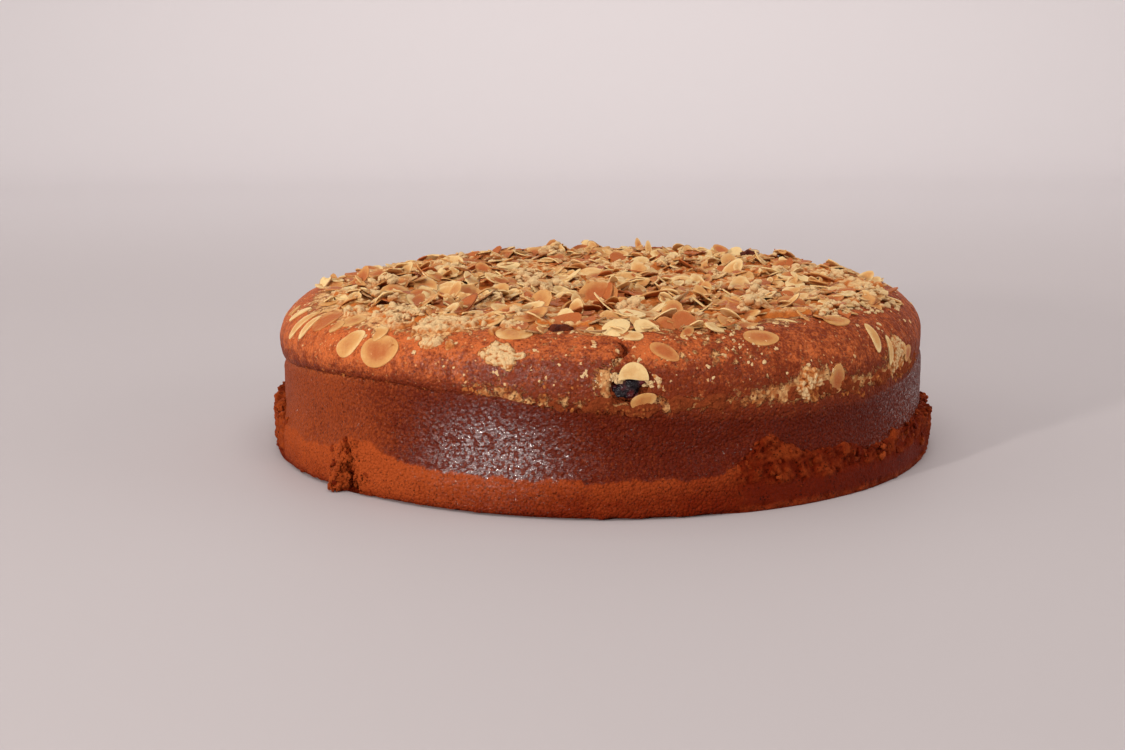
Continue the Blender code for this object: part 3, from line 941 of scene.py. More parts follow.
# The bed is pale on its proud domes and brown in the gaps between them: crust showing through, and
# painted shade in the gaps.
sandy = bed_paint.attribute("proud") * 1.2 + (0.5 - coarse) * 1.8 + (fine - 0.5) * 0.6
bed_colour = sandy.step(0.50, 1.20).mix(BED_BROWN, BED_PALE)
bed_bumps = ((where.noise(800, 4.0, 0.7), 0.0012),)
bed.data.materials.append(bed_paint.paint(bed_colour, fine * 0.15 + 0.6, bed_bumps))
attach(bed, "root")
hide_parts("topping")

# ---- Loose crumble ------------------------------------------------------------------------------
# Pea-sized and smaller lumps of rubbed butter, flour and sugar, baked pale gold where they stand
# proud. They lie in and on the bed with the almonds, so all that lies on the top is dropped here
# piece by piece, each coming to rest on what is under it.

rng = np.random.default_rng(26)


def blob(name, fineness, roughness, seed):
    """One lump of crumble, about 1 m in radius until it is copied at its size."""
    deselect()
    bpy.ops.mesh.primitive_ico_sphere_add(subdivisions=fineness, radius=1.0)
    made = bpy.context.object
    made.name = name
    place = points_of(made)
    swell = 1 + roughness * lumps(place, 0.75, seed, 2)[:, None]
    set_points(made, place * swell * (1, 0.85 + 0.1 * math.sin(seed), 0.72))
    made.data.shade_smooth()
    return made


def strewn(name, shapes, picks, frames, values=None, bends=None, reading="toast_and_shade", underside_shade=0.0):
    """Copies of a few shapes in one mesh: picks says which shape each 4x4 frame takes.

    Each point carries its copy's value, shifted by a given amount from the top of the shape to its
    bottom as painted shade, so that each copy can be darker below than on top.
    """
    parts = {"co": [], "corner": [], "start": [], "uv": [], "value": []}
    points_so_far = corners_so_far = 0
    for number, shape in enumerate(shapes):
        chosen = np.flatnonzero(picks == number)
        if not len(chosen):
            continue
        mesh = shape.data
        local = points_of(shape)
        corner = np.empty(len(mesh.loops), dtype=np.int64)
        mesh.loops.foreach_get("vertex_index", corner)
        start = np.empty(len(mesh.polygons), dtype=np.int64)
        mesh.polygons.foreach_get("loop_start", start)
        uv = np.zeros(2 * len(mesh.loops), dtype=np.float32)
        if mesh.uv_layers:
            mesh.uv_layers[0].data.foreach_get("uv", uv)
        copies = np.repeat(local[None], len(chosen), 0)
        if bends is not None:
            along, across = bends[chosen, 0][:, None], bends[chosen, 1][:, None]
            copies[..., 2] += along * copies[..., 0] ** 2 + across * copies[..., 1] ** 2
            copies[..., 2] += bends[chosen, 2][:, None] * copies[..., 0] * copies[..., 1]
        turned = np.einsum("kij,kvj->kvi", frames[chosen, :3, :3], copies)
        turned += frames[chosen, None, :3, 3]
        shift = np.arange(len(chosen))[:, None]
        parts["co"].append(turned.reshape(-1, 3))
        parts["corner"].append((corner + points_so_far + shift * len(local)).ravel())
        parts["start"].append((start + corners_so_far + shift * len(corner)).ravel())
        parts["uv"].append(np.tile(uv, len(chosen)))
        if values is not None:
            parts["value"].append((values[chosen][:, None] - underside_shade * local[:, 2]).ravel())
        points_so_far += len(local) * len(chosen)
        corners_so_far += len(corner) * len(chosen)
    joined = {key: np.concatenate(part) for key, part in parts.items() if part}
    mesh = bpy.data.meshes.new(name)
    mesh.vertices.add(points_so_far)
    mesh.loops.add(corners_so_far)
    mesh.polygons.add(len(joined["start"]))
    mesh.vertices.foreach_set("co", joined["co"].astype(np.float32).ravel())
    mesh.loops.foreach_set("vertex_index", joined["corner"].astype(np.int32))
    mesh.polygons.foreach_set("loop_start", joined["start"].astype(np.int32))
    mesh.uv_layers.new(name="slice").data.foreach_set("uv", joined["uv"])
    mesh.update(calc_edges=True)
    mesh.validate()
    made = bpy.data.objects.new(name, mesh)
    scene.collection.objects.link(made)
    if values is not None:
        set_values(made, reading, joined["value"])
    mesh.shade_smooth()
    return made


# The pile on the top as heights in small square cells.
CELL = 0.0005
REACH = 0.128
CELLS = int(2 * REACH / CELL)
line = (np.arange(CELLS) + 0.5) * CELL - REACH
cell_x, cell_y = np.meshgrid(line, line, indexing="ij")
bare_top = top_height(np.hypot(cell_x, cell_y), np.degrees(np.arctan2(cell_x, -cell_y)))
ground = np.maximum(bed_surface(cell_x, cell_y)[0], bare_top)
pile = ground.copy()


def window(x, y, half):
    """The part of the pile round a place, with its cells' distances from it."""
    low_x, low_y = (max(0, int((v - half + REACH) / CELL)) for v in (x, y))
    high_x, high_y = (min(CELLS, int((v + half + REACH) / CELL) + 2) for v in (x, y))
    part = np.s_[low_x:high_x, low_y:high_y]
    dx, dy = np.meshgrid(line[part[0]] - x, line[part[1]] - y, indexing="ij")
    return part, dx, dy


def lay_lump(x, y, radius, sunk, limit):
    """Drops a lump on the pile, unless it is too high, and gives the height of its middle."""
    part, dx, dy = window(x, y, radius)
    inside = dx**2 + dy**2 < max(0.8 * radius, CELL) ** 2
    if not inside.any():
        return None
    under = np.median(pile[part][inside])
    if under - np.median(ground[part][inside]) > limit:
        return None
    middle = under + radius * (0.6 - sunk)
    dome = middle + 0.8 * np.sqrt(np.maximum(radius**2 - dx**2 - dy**2, 0))
    pile[part] = np.where(dx**2 + dy**2 < radius**2, np.maximum(pile[part], dome), pile[part])
    return middle


def lay_slice(x, y, turn, length, width, thick, lean, bend, sunk):
    """Drops an almond slice on the pile and gives the frame that it comes to rest in."""
    part, dx, dy = window(x, y, 0.5 * length)
    c, s = math.cos(turn), math.sin(turn)
    u, v = dx * c + dy * s, dy * c - dx * s
    inside = (2 * u / length) ** 2 + (2 * v / width) ** 2 < 1
    if inside.sum() < 12:
        return None
    under, bottom, u, v = pile[part][inside], ground[part][inside], u[inside], v[inside]
    slopes = np.linalg.lstsq(np.stack([u, v, np.ones_like(u)], 1), under, rcond=None)[0][:2]
    a, b = np.clip(slopes, -0.5, 0.5) * 0.8 + lean
    belly = a * u + b * v + bend[0] * u**2 + bend[1] * v**2 + bend[2] * u * v
    base = np.quantile(under - belly, 0.62) - sunk
    if np.median(belly + base - bottom) > PILE_LIMIT:
        return None
    upper = pile[part]
    upper[inside] = np.maximum(upper[inside], belly + base + thick)
    pile[part] = upper
    along = np.array([c, s, a]) / math.sqrt(1 + a * a)
    across = np.array([-s, c, b])
    across = across - along * (across @ along)
    across /= np.linalg.norm(across)
    made = np.eye(4)
    made[:3, :3] = np.stack([along, across, np.cross(along, across)], 1)
    made[:3, 3] = (x, y, base)
    return made


def place_on_top(outer):
    """A random place on the top within a radius."""
    radius = math.sqrt(rng.uniform(0, outer**2))
    a = rng.uniform(-math.pi, math.pi)
    return radius * math.sin(a), -radius * math.cos(a)


def spot_on_top(azimuth, radius):
    """The place at an azimuth and a radius."""
    a = math.radians(azimuth)
    return radius * math.sin(a), -radius * math.cos(a)


PILE_LIMIT = 0.0042
BIG_PILE_LIMIT = 0.0064
FINE_SIZES = ((0.0006, 0.0010, 0.0016), (0.50, 0.35, 0.15))  # radii and how often each comes
CLUMP_SIZES = ((0.0007, 0.0011, 0.0017), (0.45, 0.38, 0.17))
BIG_SIZES = ((0.0009, 0.0014, 0.0021), (0.40, 0.38, 0.22))
GRAIN_SIZES = ((0.0008, 0.0013), (0.6, 0.4))
lump_rows = []
slice_rows = []


def drop_lump(x, y, sizes, limit=PILE_LIMIT):
    """Drops a lump of about one of the given sizes."""
    radius = rng.choice(sizes[0], p=sizes[1]) * rng.uniform(0.8, 1.2)
    middle = lay_lump(x, y, radius, rng.uniform(0.4, 1.1), limit)
    if middle is not None:
        lump_rows.append((x, y, middle, radius))


def drop_clump(x, y, reach, count, sizes=CLUMP_SIZES, limit=PILE_LIMIT):
    """Many small lumps stuck together."""
    for _ in range(count):
        far, a = reach * math.sqrt(rng.uniform(0, 1)), rng.uniform(0, 2 * math.pi)
        drop_lump(x + far * math.cos(a), y + far * math.sin(a), sizes, limit)


BERRIES_ON_TOP = [(-0.0142, -0.1049), (0.0657, 0.0764)]
BERRY_ROOM = 0.0058
FLAKES_RIM = 0.1100


def by_berry(x, y):
    return any(math.hypot(x - a, y - b) < BERRY_ROOM for a, b in BERRIES_ON_TOP)


def cover_at(x, y):
    """How far a place lies inside the bed's rim."""
    azimuth = math.degrees(math.atan2(x, -y))
    return float(bed_rim(np.array(azimuth))) - math.hypot(x, y)


def beyond_flakes(x, y):
    """Whether a place lies outside the uneven rim that the flakes keep within."""
    azimuth = math.degrees(math.atan2(x, -y))
    rim = FLAKES_RIM + 0.0012 * math.sin(math.radians(4 * azimuth))
    rim = rim + 0.0020 * facing(azimuth, 28, 25)
    rim += 0.0056 * facing(azimuth, 74, 24) + 0.0060 * facing(azimuth, -96, 24)
    return math.hypot(x, y) > rim - 0.0030 * facing(azimuth, -40, 20) + rng.normal(0, 0.0012)


def patchiness(x, y, size, seed):
    return float(lumps(np.array([[x, y, 0.0]]), size, seed, 2)[0])


def crumbly_at(x, y):
    """Where crumble lies thicker than almonds."""
    return patchiness(x, y, 0.024, 91)


# Kinds of slice by number: 0 oval, 1 notched, 2 half, 3 strip, 4 shard, 5 chip.
# Slices that show singly: azimuth, radius, turn, length, width, lean away and sideways, kind, toast.
SHOWN_SLICES = [
    (-1.4, 0.0440, 5, 0.0150, 0.0130, 1.10, 0.10, 0, 0.45),
    (2.4, 0.0452, 62, 0.0120, 0.0050, 0.30, 0.90, 3, 1.20),
    (-0.5, 0.0600, 12, 0.0100, 0.0075, 0.55, 0.10, 4, 0.40),
    (6.2, 0.0560, -20, 0.0110, 0.0070, 0.60, 0.30, 2, 0.45),
    (12.0, 0.1052, 5, 0.0080, 0.0064, 0.80, 0.05, 0, 0.75),
    (15.6, 0.1048, -12, 0.0094, 0.0086, 0.95, -0.10, 0, 0.85),
    (-14.5, 0.0975, 15, 0.0135, 0.0085, 0.40, 0.15, 0, 0.45),
    (21.0, 0.1062, 8, 0.0150, 0.0070, 0.15, 0.05, 3, 0.45),
    (25.5, 0.1070, 14, 0.0150, 0.0070, 0.20, -0.10, 0, 0.70),
    (-22.0, 0.0880, 30, 0.0115, 0.0085, 0.55, 0.20, 0, 0.60),
    (7.0, 0.0820, -40, 0.0110, 0.0075, 0.60, 0.20, 2, 0.35),
    (1.5, 0.0930, 15, 0.0100, 0.0075, 0.60, -0.25, 4, 0.20),
    (-7.2, 0.0990, 8, 0.0120, 0.0080, 0.50, 0.10, 0, 0.95),
    (18.0, 0.0800, 60, 0.0110, 0.0085, 0.65, 0.10, 1, 0.60),
    (13.5, 0.0860, 10, 0.0125, 0.0045, 0.35, 0.05, 3, 0.35),
]
SLICE_THICKNESS = 0.00045


def drop_slice(x, y, turn, length, width, lean, kind, toast_and_shade):
    """Drops an almond slice, which bends a little, and is painted browner where it lies deep, as painted
    shade.
    """
    bend = np.array([rng.normal(0, 22), rng.normal(0, 13), rng.normal(0, 15)])
    sunk = rng.uniform(0.0002, 0.0010)
    made = lay_slice(x, y, turn, length, width, SLICE_THICKNESS, lean, bend, sunk)
    if made is None:
        return
    made[:3, :3] = made[:3, :3] @ np.diag([0.5 * length, 0.5 * width, SLICE_THICKNESS])
    bend = bend * (0.25 * length**2, 0.25 * width**2, 0.25 * length * width)
    over = made[2, 3] - float(bed_surface(np.array(x), np.array(y))[0])
    # A slice lying low over the bed is painted browner, as painted shade.
    slice_rows.append((made, bend, kind, toast_and_shade + 0.40 * (1 - smooth(over, -0.0002, 0.0026))))


def drop_any_slice(x, y):
    """Drops a slice of a random kind, size, lean and toasting."""
    kind = rng.choice(6, p=(0.34, 0.14, 0.18, 0.14, 0.10, 0.10))
    length = rng.uniform(0.0076, 0.0140) * (0.85 if kind in (2, 4, 5) else 1)
    width = length * (rng.uniform(0.28, 0.42) if kind == 3 else rng.uniform(0.56, 0.76))
    lean = rng.normal(0, 0.48 if rng.uniform() < 0.40 else 0.18, 2)
    lean = np.clip(lean * (0.7 if math.hypot(x, y) > 0.092 else 1.0), -0.8, 0.8)
    toast_and_shade = (rng.normal(0.0, 0.12), rng.normal(0.5, 0.15), rng.normal(1.0, 0.15))
    toast_and_shade = float(rng.choice(toast_and_shade, p=(0.52, 0.34, 0.14)))
    drop_slice(x, y, rng.uniform(0, 2 * math.pi), length, width, lean, kind, toast_and_shade)


# A few clumps come first. Slices, clumps and grains follow in a mixed order, then small slices,
# and last the ones that show singly.
SLICE, CLUMP, GRAIN = range(3)
FIRST_CLUMPS = 26
SMALL_SLICES = 380
TOP_REACH = 0.1120
SPILL_REACH = 0.1185

for _ in range(FIRST_CLUMPS):
    x, y = place_on_top(TOP_REACH)
    drop_clump(x, y, 0.005, 9)
for falling in rng.permutation([SLICE] * 2000 + [CLUMP] * 70 + [GRAIN] * 200):
    x, y = place_on_top(SPILL_REACH)
    if falling == SLICE and (beyond_flakes(x, y) or by_berry(x, y)):
        continue
    if falling != SLICE and cover_at(x, y) < 0.001:
        continue
    crumbly = crumbly_at(x, y)
    if falling == GRAIN:
        drop_lump(x, y, GRAIN_SIZES)
    elif falling == SLICE and rng.uniform() >= crumbly * 1.2:
        drop_any_slice(x, y)
    elif falling == CLUMP and crumbly > -0.05:
        drop_clump(x, y, rng.uniform(0.002, 0.0055), int(rng.integers(6, 17)))
for _ in range(SMALL_SLICES):
    x, y = place_on_top(TOP_REACH)
    if beyond_flakes(x, y) or by_berry(x, y) or rng.uniform() < crumbly_at(x, y):
        continue
    length = rng.uniform(0.0034, 0.0062)
    width = length * rng.uniform(0.4, 0.8)
    lean = rng.normal(0, 0.25, 2)
    turn, kind, toast_and_shade = rng.uniform(0, 6.28), rng.choice((2, 3, 4, 5)), rng.beta(1.3, 1.7)
    drop_slice(x, y, turn, length, width, lean, kind, toast_and_shade)
for azimuth, radius, turn, length, width, back, aside, kind, toast_and_shade in SHOWN_SLICES:
    t = math.radians(turn)
    c, s = math.cos(t), math.sin(t)
    lean = np.array([back * s + aside * c, back * c - aside * s])
    drop_slice(*spot_on_top(azimuth, radius), t, length, width, lean, kind, toast_and_shade)

# Crumble that spilled over the ridge, in a dense sandy drift at the left and a thinner and wider
# one at the right: count, inner and outer radius, azimuth, spread, raggedness, least cover.
DRIFTS = [
    (420, 0.096, 0.1195, -46, 15, 0.006, 0.0008),
    (260, 0.104, 0.1205, 70, 13, 0.008, -0.0035),
]
for count, inner, outer, middle, spread, ragged, least in DRIFTS:
    for _ in range(count):
        radius, azimuth = rng.uniform(inner, outer), rng.normal(middle, spread)
        x, y = spot_on_top(azimuth, radius)
        if cover_at(x, y) + ragged * patchiness(x, y, 0.010, 93) > least:
            drop_lump(x, y, FINE_SIZES)

# Big pale lumps of crumble that stand proud of the flakes: azimuth, radius, reach.
BIG_LUMPS = [
    (-121, 0.0735, 0.0060), (-37, 0.0370, 0.0065), (104, 0.0810, 0.0065), (150, 0.0560, 0.0050),
    (97, 0.0970, 0.0055), (8, 0.0700, 0.0045), (-70, 0.0900, 0.0050), (56, 0.0700, 0.0045),
    (-165, 0.0850, 0.0050), (-18, 0.0900, 0.0040), (34, 0.0930, 0.0040), (-100, 0.0300, 0.0050),
]
for azimuth, radius, reach in BIG_LUMPS:
    drop_clump(*spot_on_top(azimuth, radius), reach, 30, BIG_SIZES, BIG_PILE_LIMIT)

# What lies deep between its neighbours is painted a warmer brown than what stands proud: painted shade
# in the hollows of the pile.
nearby_top = pile.copy()
for shift_x, shift_y in itertools.product((-4, -2, 0, 2, 4), repeat=2):
    nearby_top = np.maximum(nearby_top, np.roll(pile, (shift_x, shift_y), (0, 1)))


def hollow_shade(place, low, high):
    """0 for points that stand level with the pile round them and 1 for points well below it."""
    cell = np.clip(((place[:, :2] + REACH) / CELL).astype(int), 0, CELLS - 1)
    return smooth(nearby_top[cell[:, 0], cell[:, 1]] - place[:, 2], low, high)


# The bed is painted browner where it lies below the pile round it, as painted shade.
proud = values_of(bed, "proud") * (1 - 0.6 * hollow_shade(points_of(bed), 0.0006, 0.0026))
set_values(bed, "proud", proud)
blobs = [blob(f"lump_{n}", 3 if n < 3 else 2, 0.75 if n < 3 else 0.6, 80 + n) for n in range(8)]


def lump_frames(middles, radii, flat=1.0, ways=None):
    """Frames that turn and size each lump, flattened along its way out."""
    frames = np.zeros((len(middles), 4, 4))
    ways = np.tile((0, 0, 1.0), (len(middles), 1)) if ways is None else ways
    for frame_of, middle, radius, out in zip(frames, middles, radii, ways):
        turned = Vector(out).to_track_quat("Z", "Y").to_matrix()
        turned = turned @ Matrix.Rotation(rng.uniform(0, 6.28), 3, "Z")
        turned = turned @ Matrix.Rotation(rng.uniform(-0.4, 0.4), 3, "X")
        frame_of[:3, :3] = np.array(turned) * radius * (1, 1, flat)
        frame_of[:3, 3] = middle
    return frames


lump_rows = np.array(lump_rows)
big = lump_rows[:, 3] > 0.0016
picks = np.where(big, rng.integers(0, 3, len(big)), rng.integers(3, 8, len(big)))
frames = lump_frames(lump_rows[:, :3], lump_rows[:, 3])
# Each lump is painted browner below than on top, as painted shade.
loose = strewn("loose_crumble", blobs, picks, frames, 0.55 * rng.beta(1.4, 2.6, len(big)), underside_shade=0.45)

CRUMBLE_PALE = (0.78, 0.525, 0.265, 1)
CRUMBLE_GOLDEN = (0.56, 0.185, 0.046, 1)
CRUMBLE_BROWN = (0.24, 0.045, 0.012, 1)

crumble_paint = Finish("butter_crumble", Specular_IOR_Level=0.05)
where = crumble_paint.place
fine = where.noise(1100, 3.0, 0.65)
tint = crumble_paint.attribute("toast_and_shade") + (where.noise(160, 3.0) - 0.5) * 0.5 + (fine - 0.5) * 0.6
crumble_colour = tint.step(0.05, 0.85).mix(CRUMBLE_PALE, CRUMBLE_GOLDEN)
crumble_colour = tint.step(0.80, 1.6).mix(crumble_colour, CRUMBLE_BROWN)
crumble_bumps = ((where.noise(1000, 4.0, 0.7), 0.0011),)
crumble_material = crumble_paint.paint(crumble_colour, fine * 0.15 + 0.62, crumble_bumps)
loose.data.materials.append(crumble_material)
# Lumps deep in the pile are painted browner, as painted shade.
toast_and_shade = values_of(loose, "toast_and_shade") + 0.22 * hollow_shade(points_of(loose), 0.0008, 0.0030)
set_values(loose, "toast_and_shade", toast_and_shade)
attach(loose, "root")

# ---- Flaked almonds -----------------------------------------------------------------------------
# Blanched almonds cut into slices under a millimetre thick, with a few that kept their brown skin.
# They curl and toast in the oven, whole ovals among halves, slivers and corners.

SLICE_CORNERS = 12
SLICE_EDGE = math.radians(50)  # the cut edge turns by more than this and stays crisp
SKINNED_SHARE = 0.08
ALMOND_PALE = (0.72, 0.50, 0.230, 1)
ALMOND_GOLDEN = (0.56, 0.275, 0.086, 1)
ALMOND_BROWN = (0.40, 0.105, 0.024, 1)
ALMOND_SKIN = (0.20, 0.050, 0.016, 1)


def almond_shape(name, outline, corners=SLICE_CORNERS):
    """One flat slice of half length 1, half width 1 and thickness 1, with its place as its UV."""
    deselect()
    bpy.ops.mesh.primitive_circle_add(vertices=corners, radius=1.0, fill_type="NGON")
    made = bpy.context.object
    made.name = name
    edit(made, "FACE")
    bpy.ops.mesh.select_all(action="SELECT")
    bpy.ops.mesh.inset(thickness=0.42, depth=0)
    bpy.ops.mesh.poke()
    bpy.ops.mesh.select_all(action="SELECT")
    bpy.ops.mesh.extrude_region_move(TRANSFORM_OT_translate={"value": (0, 0, 1)})
    bpy.ops.mesh.select_all(action="SELECT")
    bpy.ops.mesh.normals_make_consistent(inside=False)
    bpy.ops.object.mode_set(mode="OBJECT")
    place = points_of(made)
    for layer in list(made.data.uv_layers):
        made.data.uv_layers.remove(layer)
    corner = np.empty(len(made.data.loops), dtype=np.int64)
    made.data.loops.foreach_get("vertex_index", corner)
    flat = place[corner, :2].astype(np.float32)
    made.data.uv_layers.new(name="slice").data.foreach_set("uv", flat.ravel())
    set_points(made, outline(place))
    return made


def oval(place):
    pointed = 1 - 0.17 * place[:, 0]
    return place * np.stack([np.ones(len(place)), pointed, np.ones(len(place))], 1)


def notched(place):
    bite = 1 - 0.30 * hump(np.arctan2(place[:, 1], place[:, 0]), 1.9, 0.55) * np.hypot(*place[:, :2].T)
    return oval(place) * np.stack([bite, bite, np.ones(len(place))], 1)


def broken(place):
    """Half a slice, snapped off across its middle."""
    snapped = place.copy()
    edge = -0.10 + 0.16 * np.sin(4 * place[:, 1] + 0.5)
    snapped[:, 0] = np.maximum(place[:, 0], edge)
    return snapped


def sliver(place):
    return place * (1, 0.9, 1) + np.stack([0 * place[:, 0], 0.18 * place[:, 0] ** 2, 0 * place[:, 0]], 1)


def shard(place):
    """A three-cornered piece."""
    turn_of = np.arctan2(place[:, 1], place[:, 0]) + 0.4
    third = 2 * math.pi / 3
    reach = 0.62 / np.cos((turn_of % third) - third / 2) * (1 + 0.12 * np.sin(turn_of))
    reach = 0.45 * reach + 0.42
    return place * np.stack([reach, reach, np.ones(len(place))], 1)


def chip(place):
    """A corner broken off a slice."""
    snapped = place.copy()
    snapped[:, 0] = np.maximum(place[:, 0], -0.15 + 0.10 * np.sin(5 * place[:, 1]))
    snapped[:, 1] = np.maximum(place[:, 1], -0.30 + 0.12 * np.sin(4 * place[:, 0] + 1))
    return snapped


slice_shapes = [
    almond_shape("almond_oval", oval),
    almond_shape("almond_notch", notched),
    almond_shape("almond_half", broken),
    almond_shape("almond_strip", sliver),
    almond_shape("almond_shard", shard),
    almond_shape("almond_chip", chip),
]
frames = np.array([made for made, _, _, _ in slice_rows])
bends = np.array([bend for _, bend, _, _ in slice_rows]) / SLICE_THICKNESS
kinds = np.array([kind for _, _, kind, _ in slice_rows])
toasts = np.array([toast_and_shade for _, _, _, toast_and_shade in slice_rows])
skinned = rng.random(len(kinds)) < SKINNED_SHARE


def almond_finish(name, skin_edge):
    """Toasted almond flesh, with or without the brown skin round its edge and its darker heart."""
    paint = Finish(name, Specular_IOR_Level=0.15, Subsurface_Weight=0.3)
    paint.shader.inputs["Subsurface Radius"].default_value = (1.0, 0.95, 0.85)
    paint.shader.inputs["Subsurface Scale"].default_value = 0.0007
    where = paint.place
    on_slice = paint.start.node("ShaderNodeUVMap", {"uv_map": "slice"})
    reach = on_slice.node("ShaderNodeVectorMath", {"operation": "LENGTH"}, {0: on_slice}, output=1)
    fine, cloud = where.noise(800, 3.0, 0.6), where.noise(130, 2.0)
    toast_and_shade = paint.attribute("toast_and_shade")
    edge, heart = reach.step(0.55, 1.0), 1 - (reach + (where.noise(260) - 0.5) * 0.5).step(0.25, 0.75)
    # The edge is painted paler, as painted glow of light through the thin rim, and the heart browner.
    done = toast_and_shade + (cloud - 0.5) * 1.1 + (fine - 0.5) * 0.35 + heart * toast_and_shade * 0.35 - edge * 0.22
    colour = done.step(0.0, 0.60).mix(ALMOND_PALE, ALMOND_GOLDEN)
    colour = done.step(0.50, 1.25).mix(colour, ALMOND_BROWN)
    if skin_edge:
        rim = (reach + (fine - 0.5) * 0.25).step(0.80, 0.97)
        colour = (rim * 0.7).mix(colour, ALMOND_SKIN)
    return paint.paint(colour, fine * 0.2 + 0.42, ((where.noise(420, 3.0, 0.6), 0.0006),))


almond_plain = almond_finish("toasted_almond", False)
almond_skinned = almond_finish("almond_in_skin", True)
for name, chosen, finish in (
    ("flaked_almonds", ~skinned, almond_plain),
    ("flaked_almonds_in_skin", skinned, almond_skinned),
):
    flakes = strewn(name, slice_shapes, kinds[chosen], frames[chosen], toasts[chosen], bends[chosen])
    flakes.data.set_sharp_from_angle(angle=SLICE_EDGE)
    # Slices deep in the pile are painted browner, as painted shade.
    toast_and_shade = values_of(flakes, "toast_and_shade") + 0.34 * hollow_shade(points_of(flakes), 0.0012, 0.0038)
    set_values(flakes, "toast_and_shade", toast_and_shade)
    flakes.data.materials.append(finish)
    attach(flakes, "root")

# ---- Almond slices on the shoulder ---------------------------------------------------------------
# Fifteen slices slid down or were blown off the heap and baked on to the crust one by one. Each is
# sunk a little in it and bent round it.

# Node, azimuth, climb, length, width, turn, kind, toast, whether it has a skinned edge. Kind 4 is
# a half with a straight break here.
SHOULDER_SLICES = [
    ("almond_round", -38.1, 26, 0.0170, 0.0122, 4, 0, 0.80, False),
    ("almond_notched", -45.4, 30, 0.0128, 0.0100, 48, 1, 0.62, False),
    ("almond_brown_heart", -57.0, 52, 0.0125, 0.0104, 55, 0, 1.10, False),
    ("almond_sliver_left", -64.6, 36, 0.0160, 0.0064, 66, 3, 0.50, False),
    ("almond_tan", -49.8, 62, 0.0100, 0.0082, 20, 0, 0.70, False),
    ("almond_ridge", -15.2, 72, 0.0132, 0.0090, -6, 0, 0.60, False),
    ("almond_over_berry", 4.7, 12, 0.0112, 0.0100, 90, 4, 0.16, False),
    ("almond_under_berry", 6.2, -12, 0.0090, 0.0052, 22, 0, 0.60, False),
    ("almond_crack", 9.9, 44, 0.0110, 0.0060, -38, 0, 1.00, False),
    ("almond_right", 27.5, 57, 0.0132, 0.0080, -8, 0, 0.75, False),
    ("almond_orange", 39.9, -3, 0.0104, 0.0072, 75, 0, 0.95, False),
    ("almond_far_right", 52.0, 33, 0.0120, 0.0054, 80, 3, 0.35, False),
    ("almond_back_right", 103, 48, 0.0135, 0.0090, 15, 0, 0.40, True),
    ("almond_back", 168, 36, 0.0140, 0.0100, -25, 0, 0.35, False),
    ("almond_back_left", -126, 52, 0.0125, 0.0088, 50, 1, 0.45, False),
]
body_tree = BVHTree.FromObject(body, bpy.context.evaluated_depsgraph_get())
body_place, body_way = points_of(body), normals_of(body)
body_azimuth = azimuth_of(body_place)
body_climb = climb_of(body_place, body_azimuth)
above_crease = body_place[:, 2] > crease_height(body_azimuth) - 0.0005


def crust_spot(azimuth, climb):
    """A frame on the crust: x round the cake, y up the slope and z out of it."""
    wide, middle, high = shoulder(azimuth)
    a, c = math.radians(azimuth), math.radians(climb)
    point = around(azimuth, RIDGE_RADIUS + wide * math.cos(c), middle + high * math.sin(c))
    out = around(azimuth, math.cos(c) / wide, math.sin(c) / high)
    out /= np.linalg.norm(out)
    along = np.array([math.cos(a), math.sin(a), 0])
    made = np.eye(4)
    made[:3, :3] = np.stack([along, np.cross(out, along), out], 1)
    made[:3, 3] = point
    return made


def rest_on_crust(spot, length, width):
    """Tilts a slice's frame to the crust under it and gives the bend that follows the crust."""
    rows, heights = [], []
    for u, v in itertools.product(np.linspace(-1, 1, 7), repeat=2):
        if u * u + v * v > 1.1:
            continue
        local = np.array([0.5 * u * length, 0.5 * v * width])
        start = spot[:3, 3] + spot[:3, :2] @ local + spot[:3, 2] * 0.008
        hit = body_tree.ray_cast(start.tolist(), (-spot[:3, 2]).tolist(), 0.016)[0]
        if hit is None:
            continue
        x, y = local
        rows.append((1, x, y, x * x, y * y, x * y))
        heights.append(float((np.array(hit) - spot[:3, 3]) @ spot[:3, 2]))
    rows, heights = np.array(rows), np.array(heights)
    fit = np.linalg.lstsq(rows, heights, rcond=None)[0]
    proud = np.quantile(heights - rows @ fit, 0.9)
    made = spot.copy()
    out = spot[:3, 2] - fit[1] * spot[:3, 0] - fit[2] * spot[:3, 1]
    out /= np.linalg.norm(out)
    along = spot[:3, 0] - out * (out @ spot[:3, 0])
    along /= np.linalg.norm(along)
    made[:3, :3] = np.stack([along, np.cross(out, along), out], 1)
    made[:3, 3] += spot[:3, 2] * (fit[0] + proud)
    return made, fit[3:]


def halved(place):
    """Half a slice with a nearly straight break."""
    snapped = place.copy()
    snapped[:, 0] = np.maximum(place[:, 0], -0.05 + 0.05 * np.sin(3 * place[:, 1] + 0.5))
    return snapped


def turned_spot(azimuth, climb, turn):
    return crust_spot(azimuth, climb) @ np.array(Matrix.Rotation(math.radians(turn), 4, "Z"))


def own_bend(bend, length, width):
    """The bend of a slice as its shape, of half length and half width 1, takes it."""
    return bend * (length**2, width**2, length * width) / 4 / SLICE_THICKNESS


def slice_size(length, width):
    return np.diag([0.5 * length, 0.5 * width, SLICE_THICKNESS, 1])


SLICE_SUNK = 0.00025
BERRY_SLICE_RISE = 0.0010
BERRY_SLICE_BENDS = {
    "almond_over_berry": (-16.0, -3.0, 0.0),
    "almond_under_berry": (-3.0, -16.0, 0.0),
}

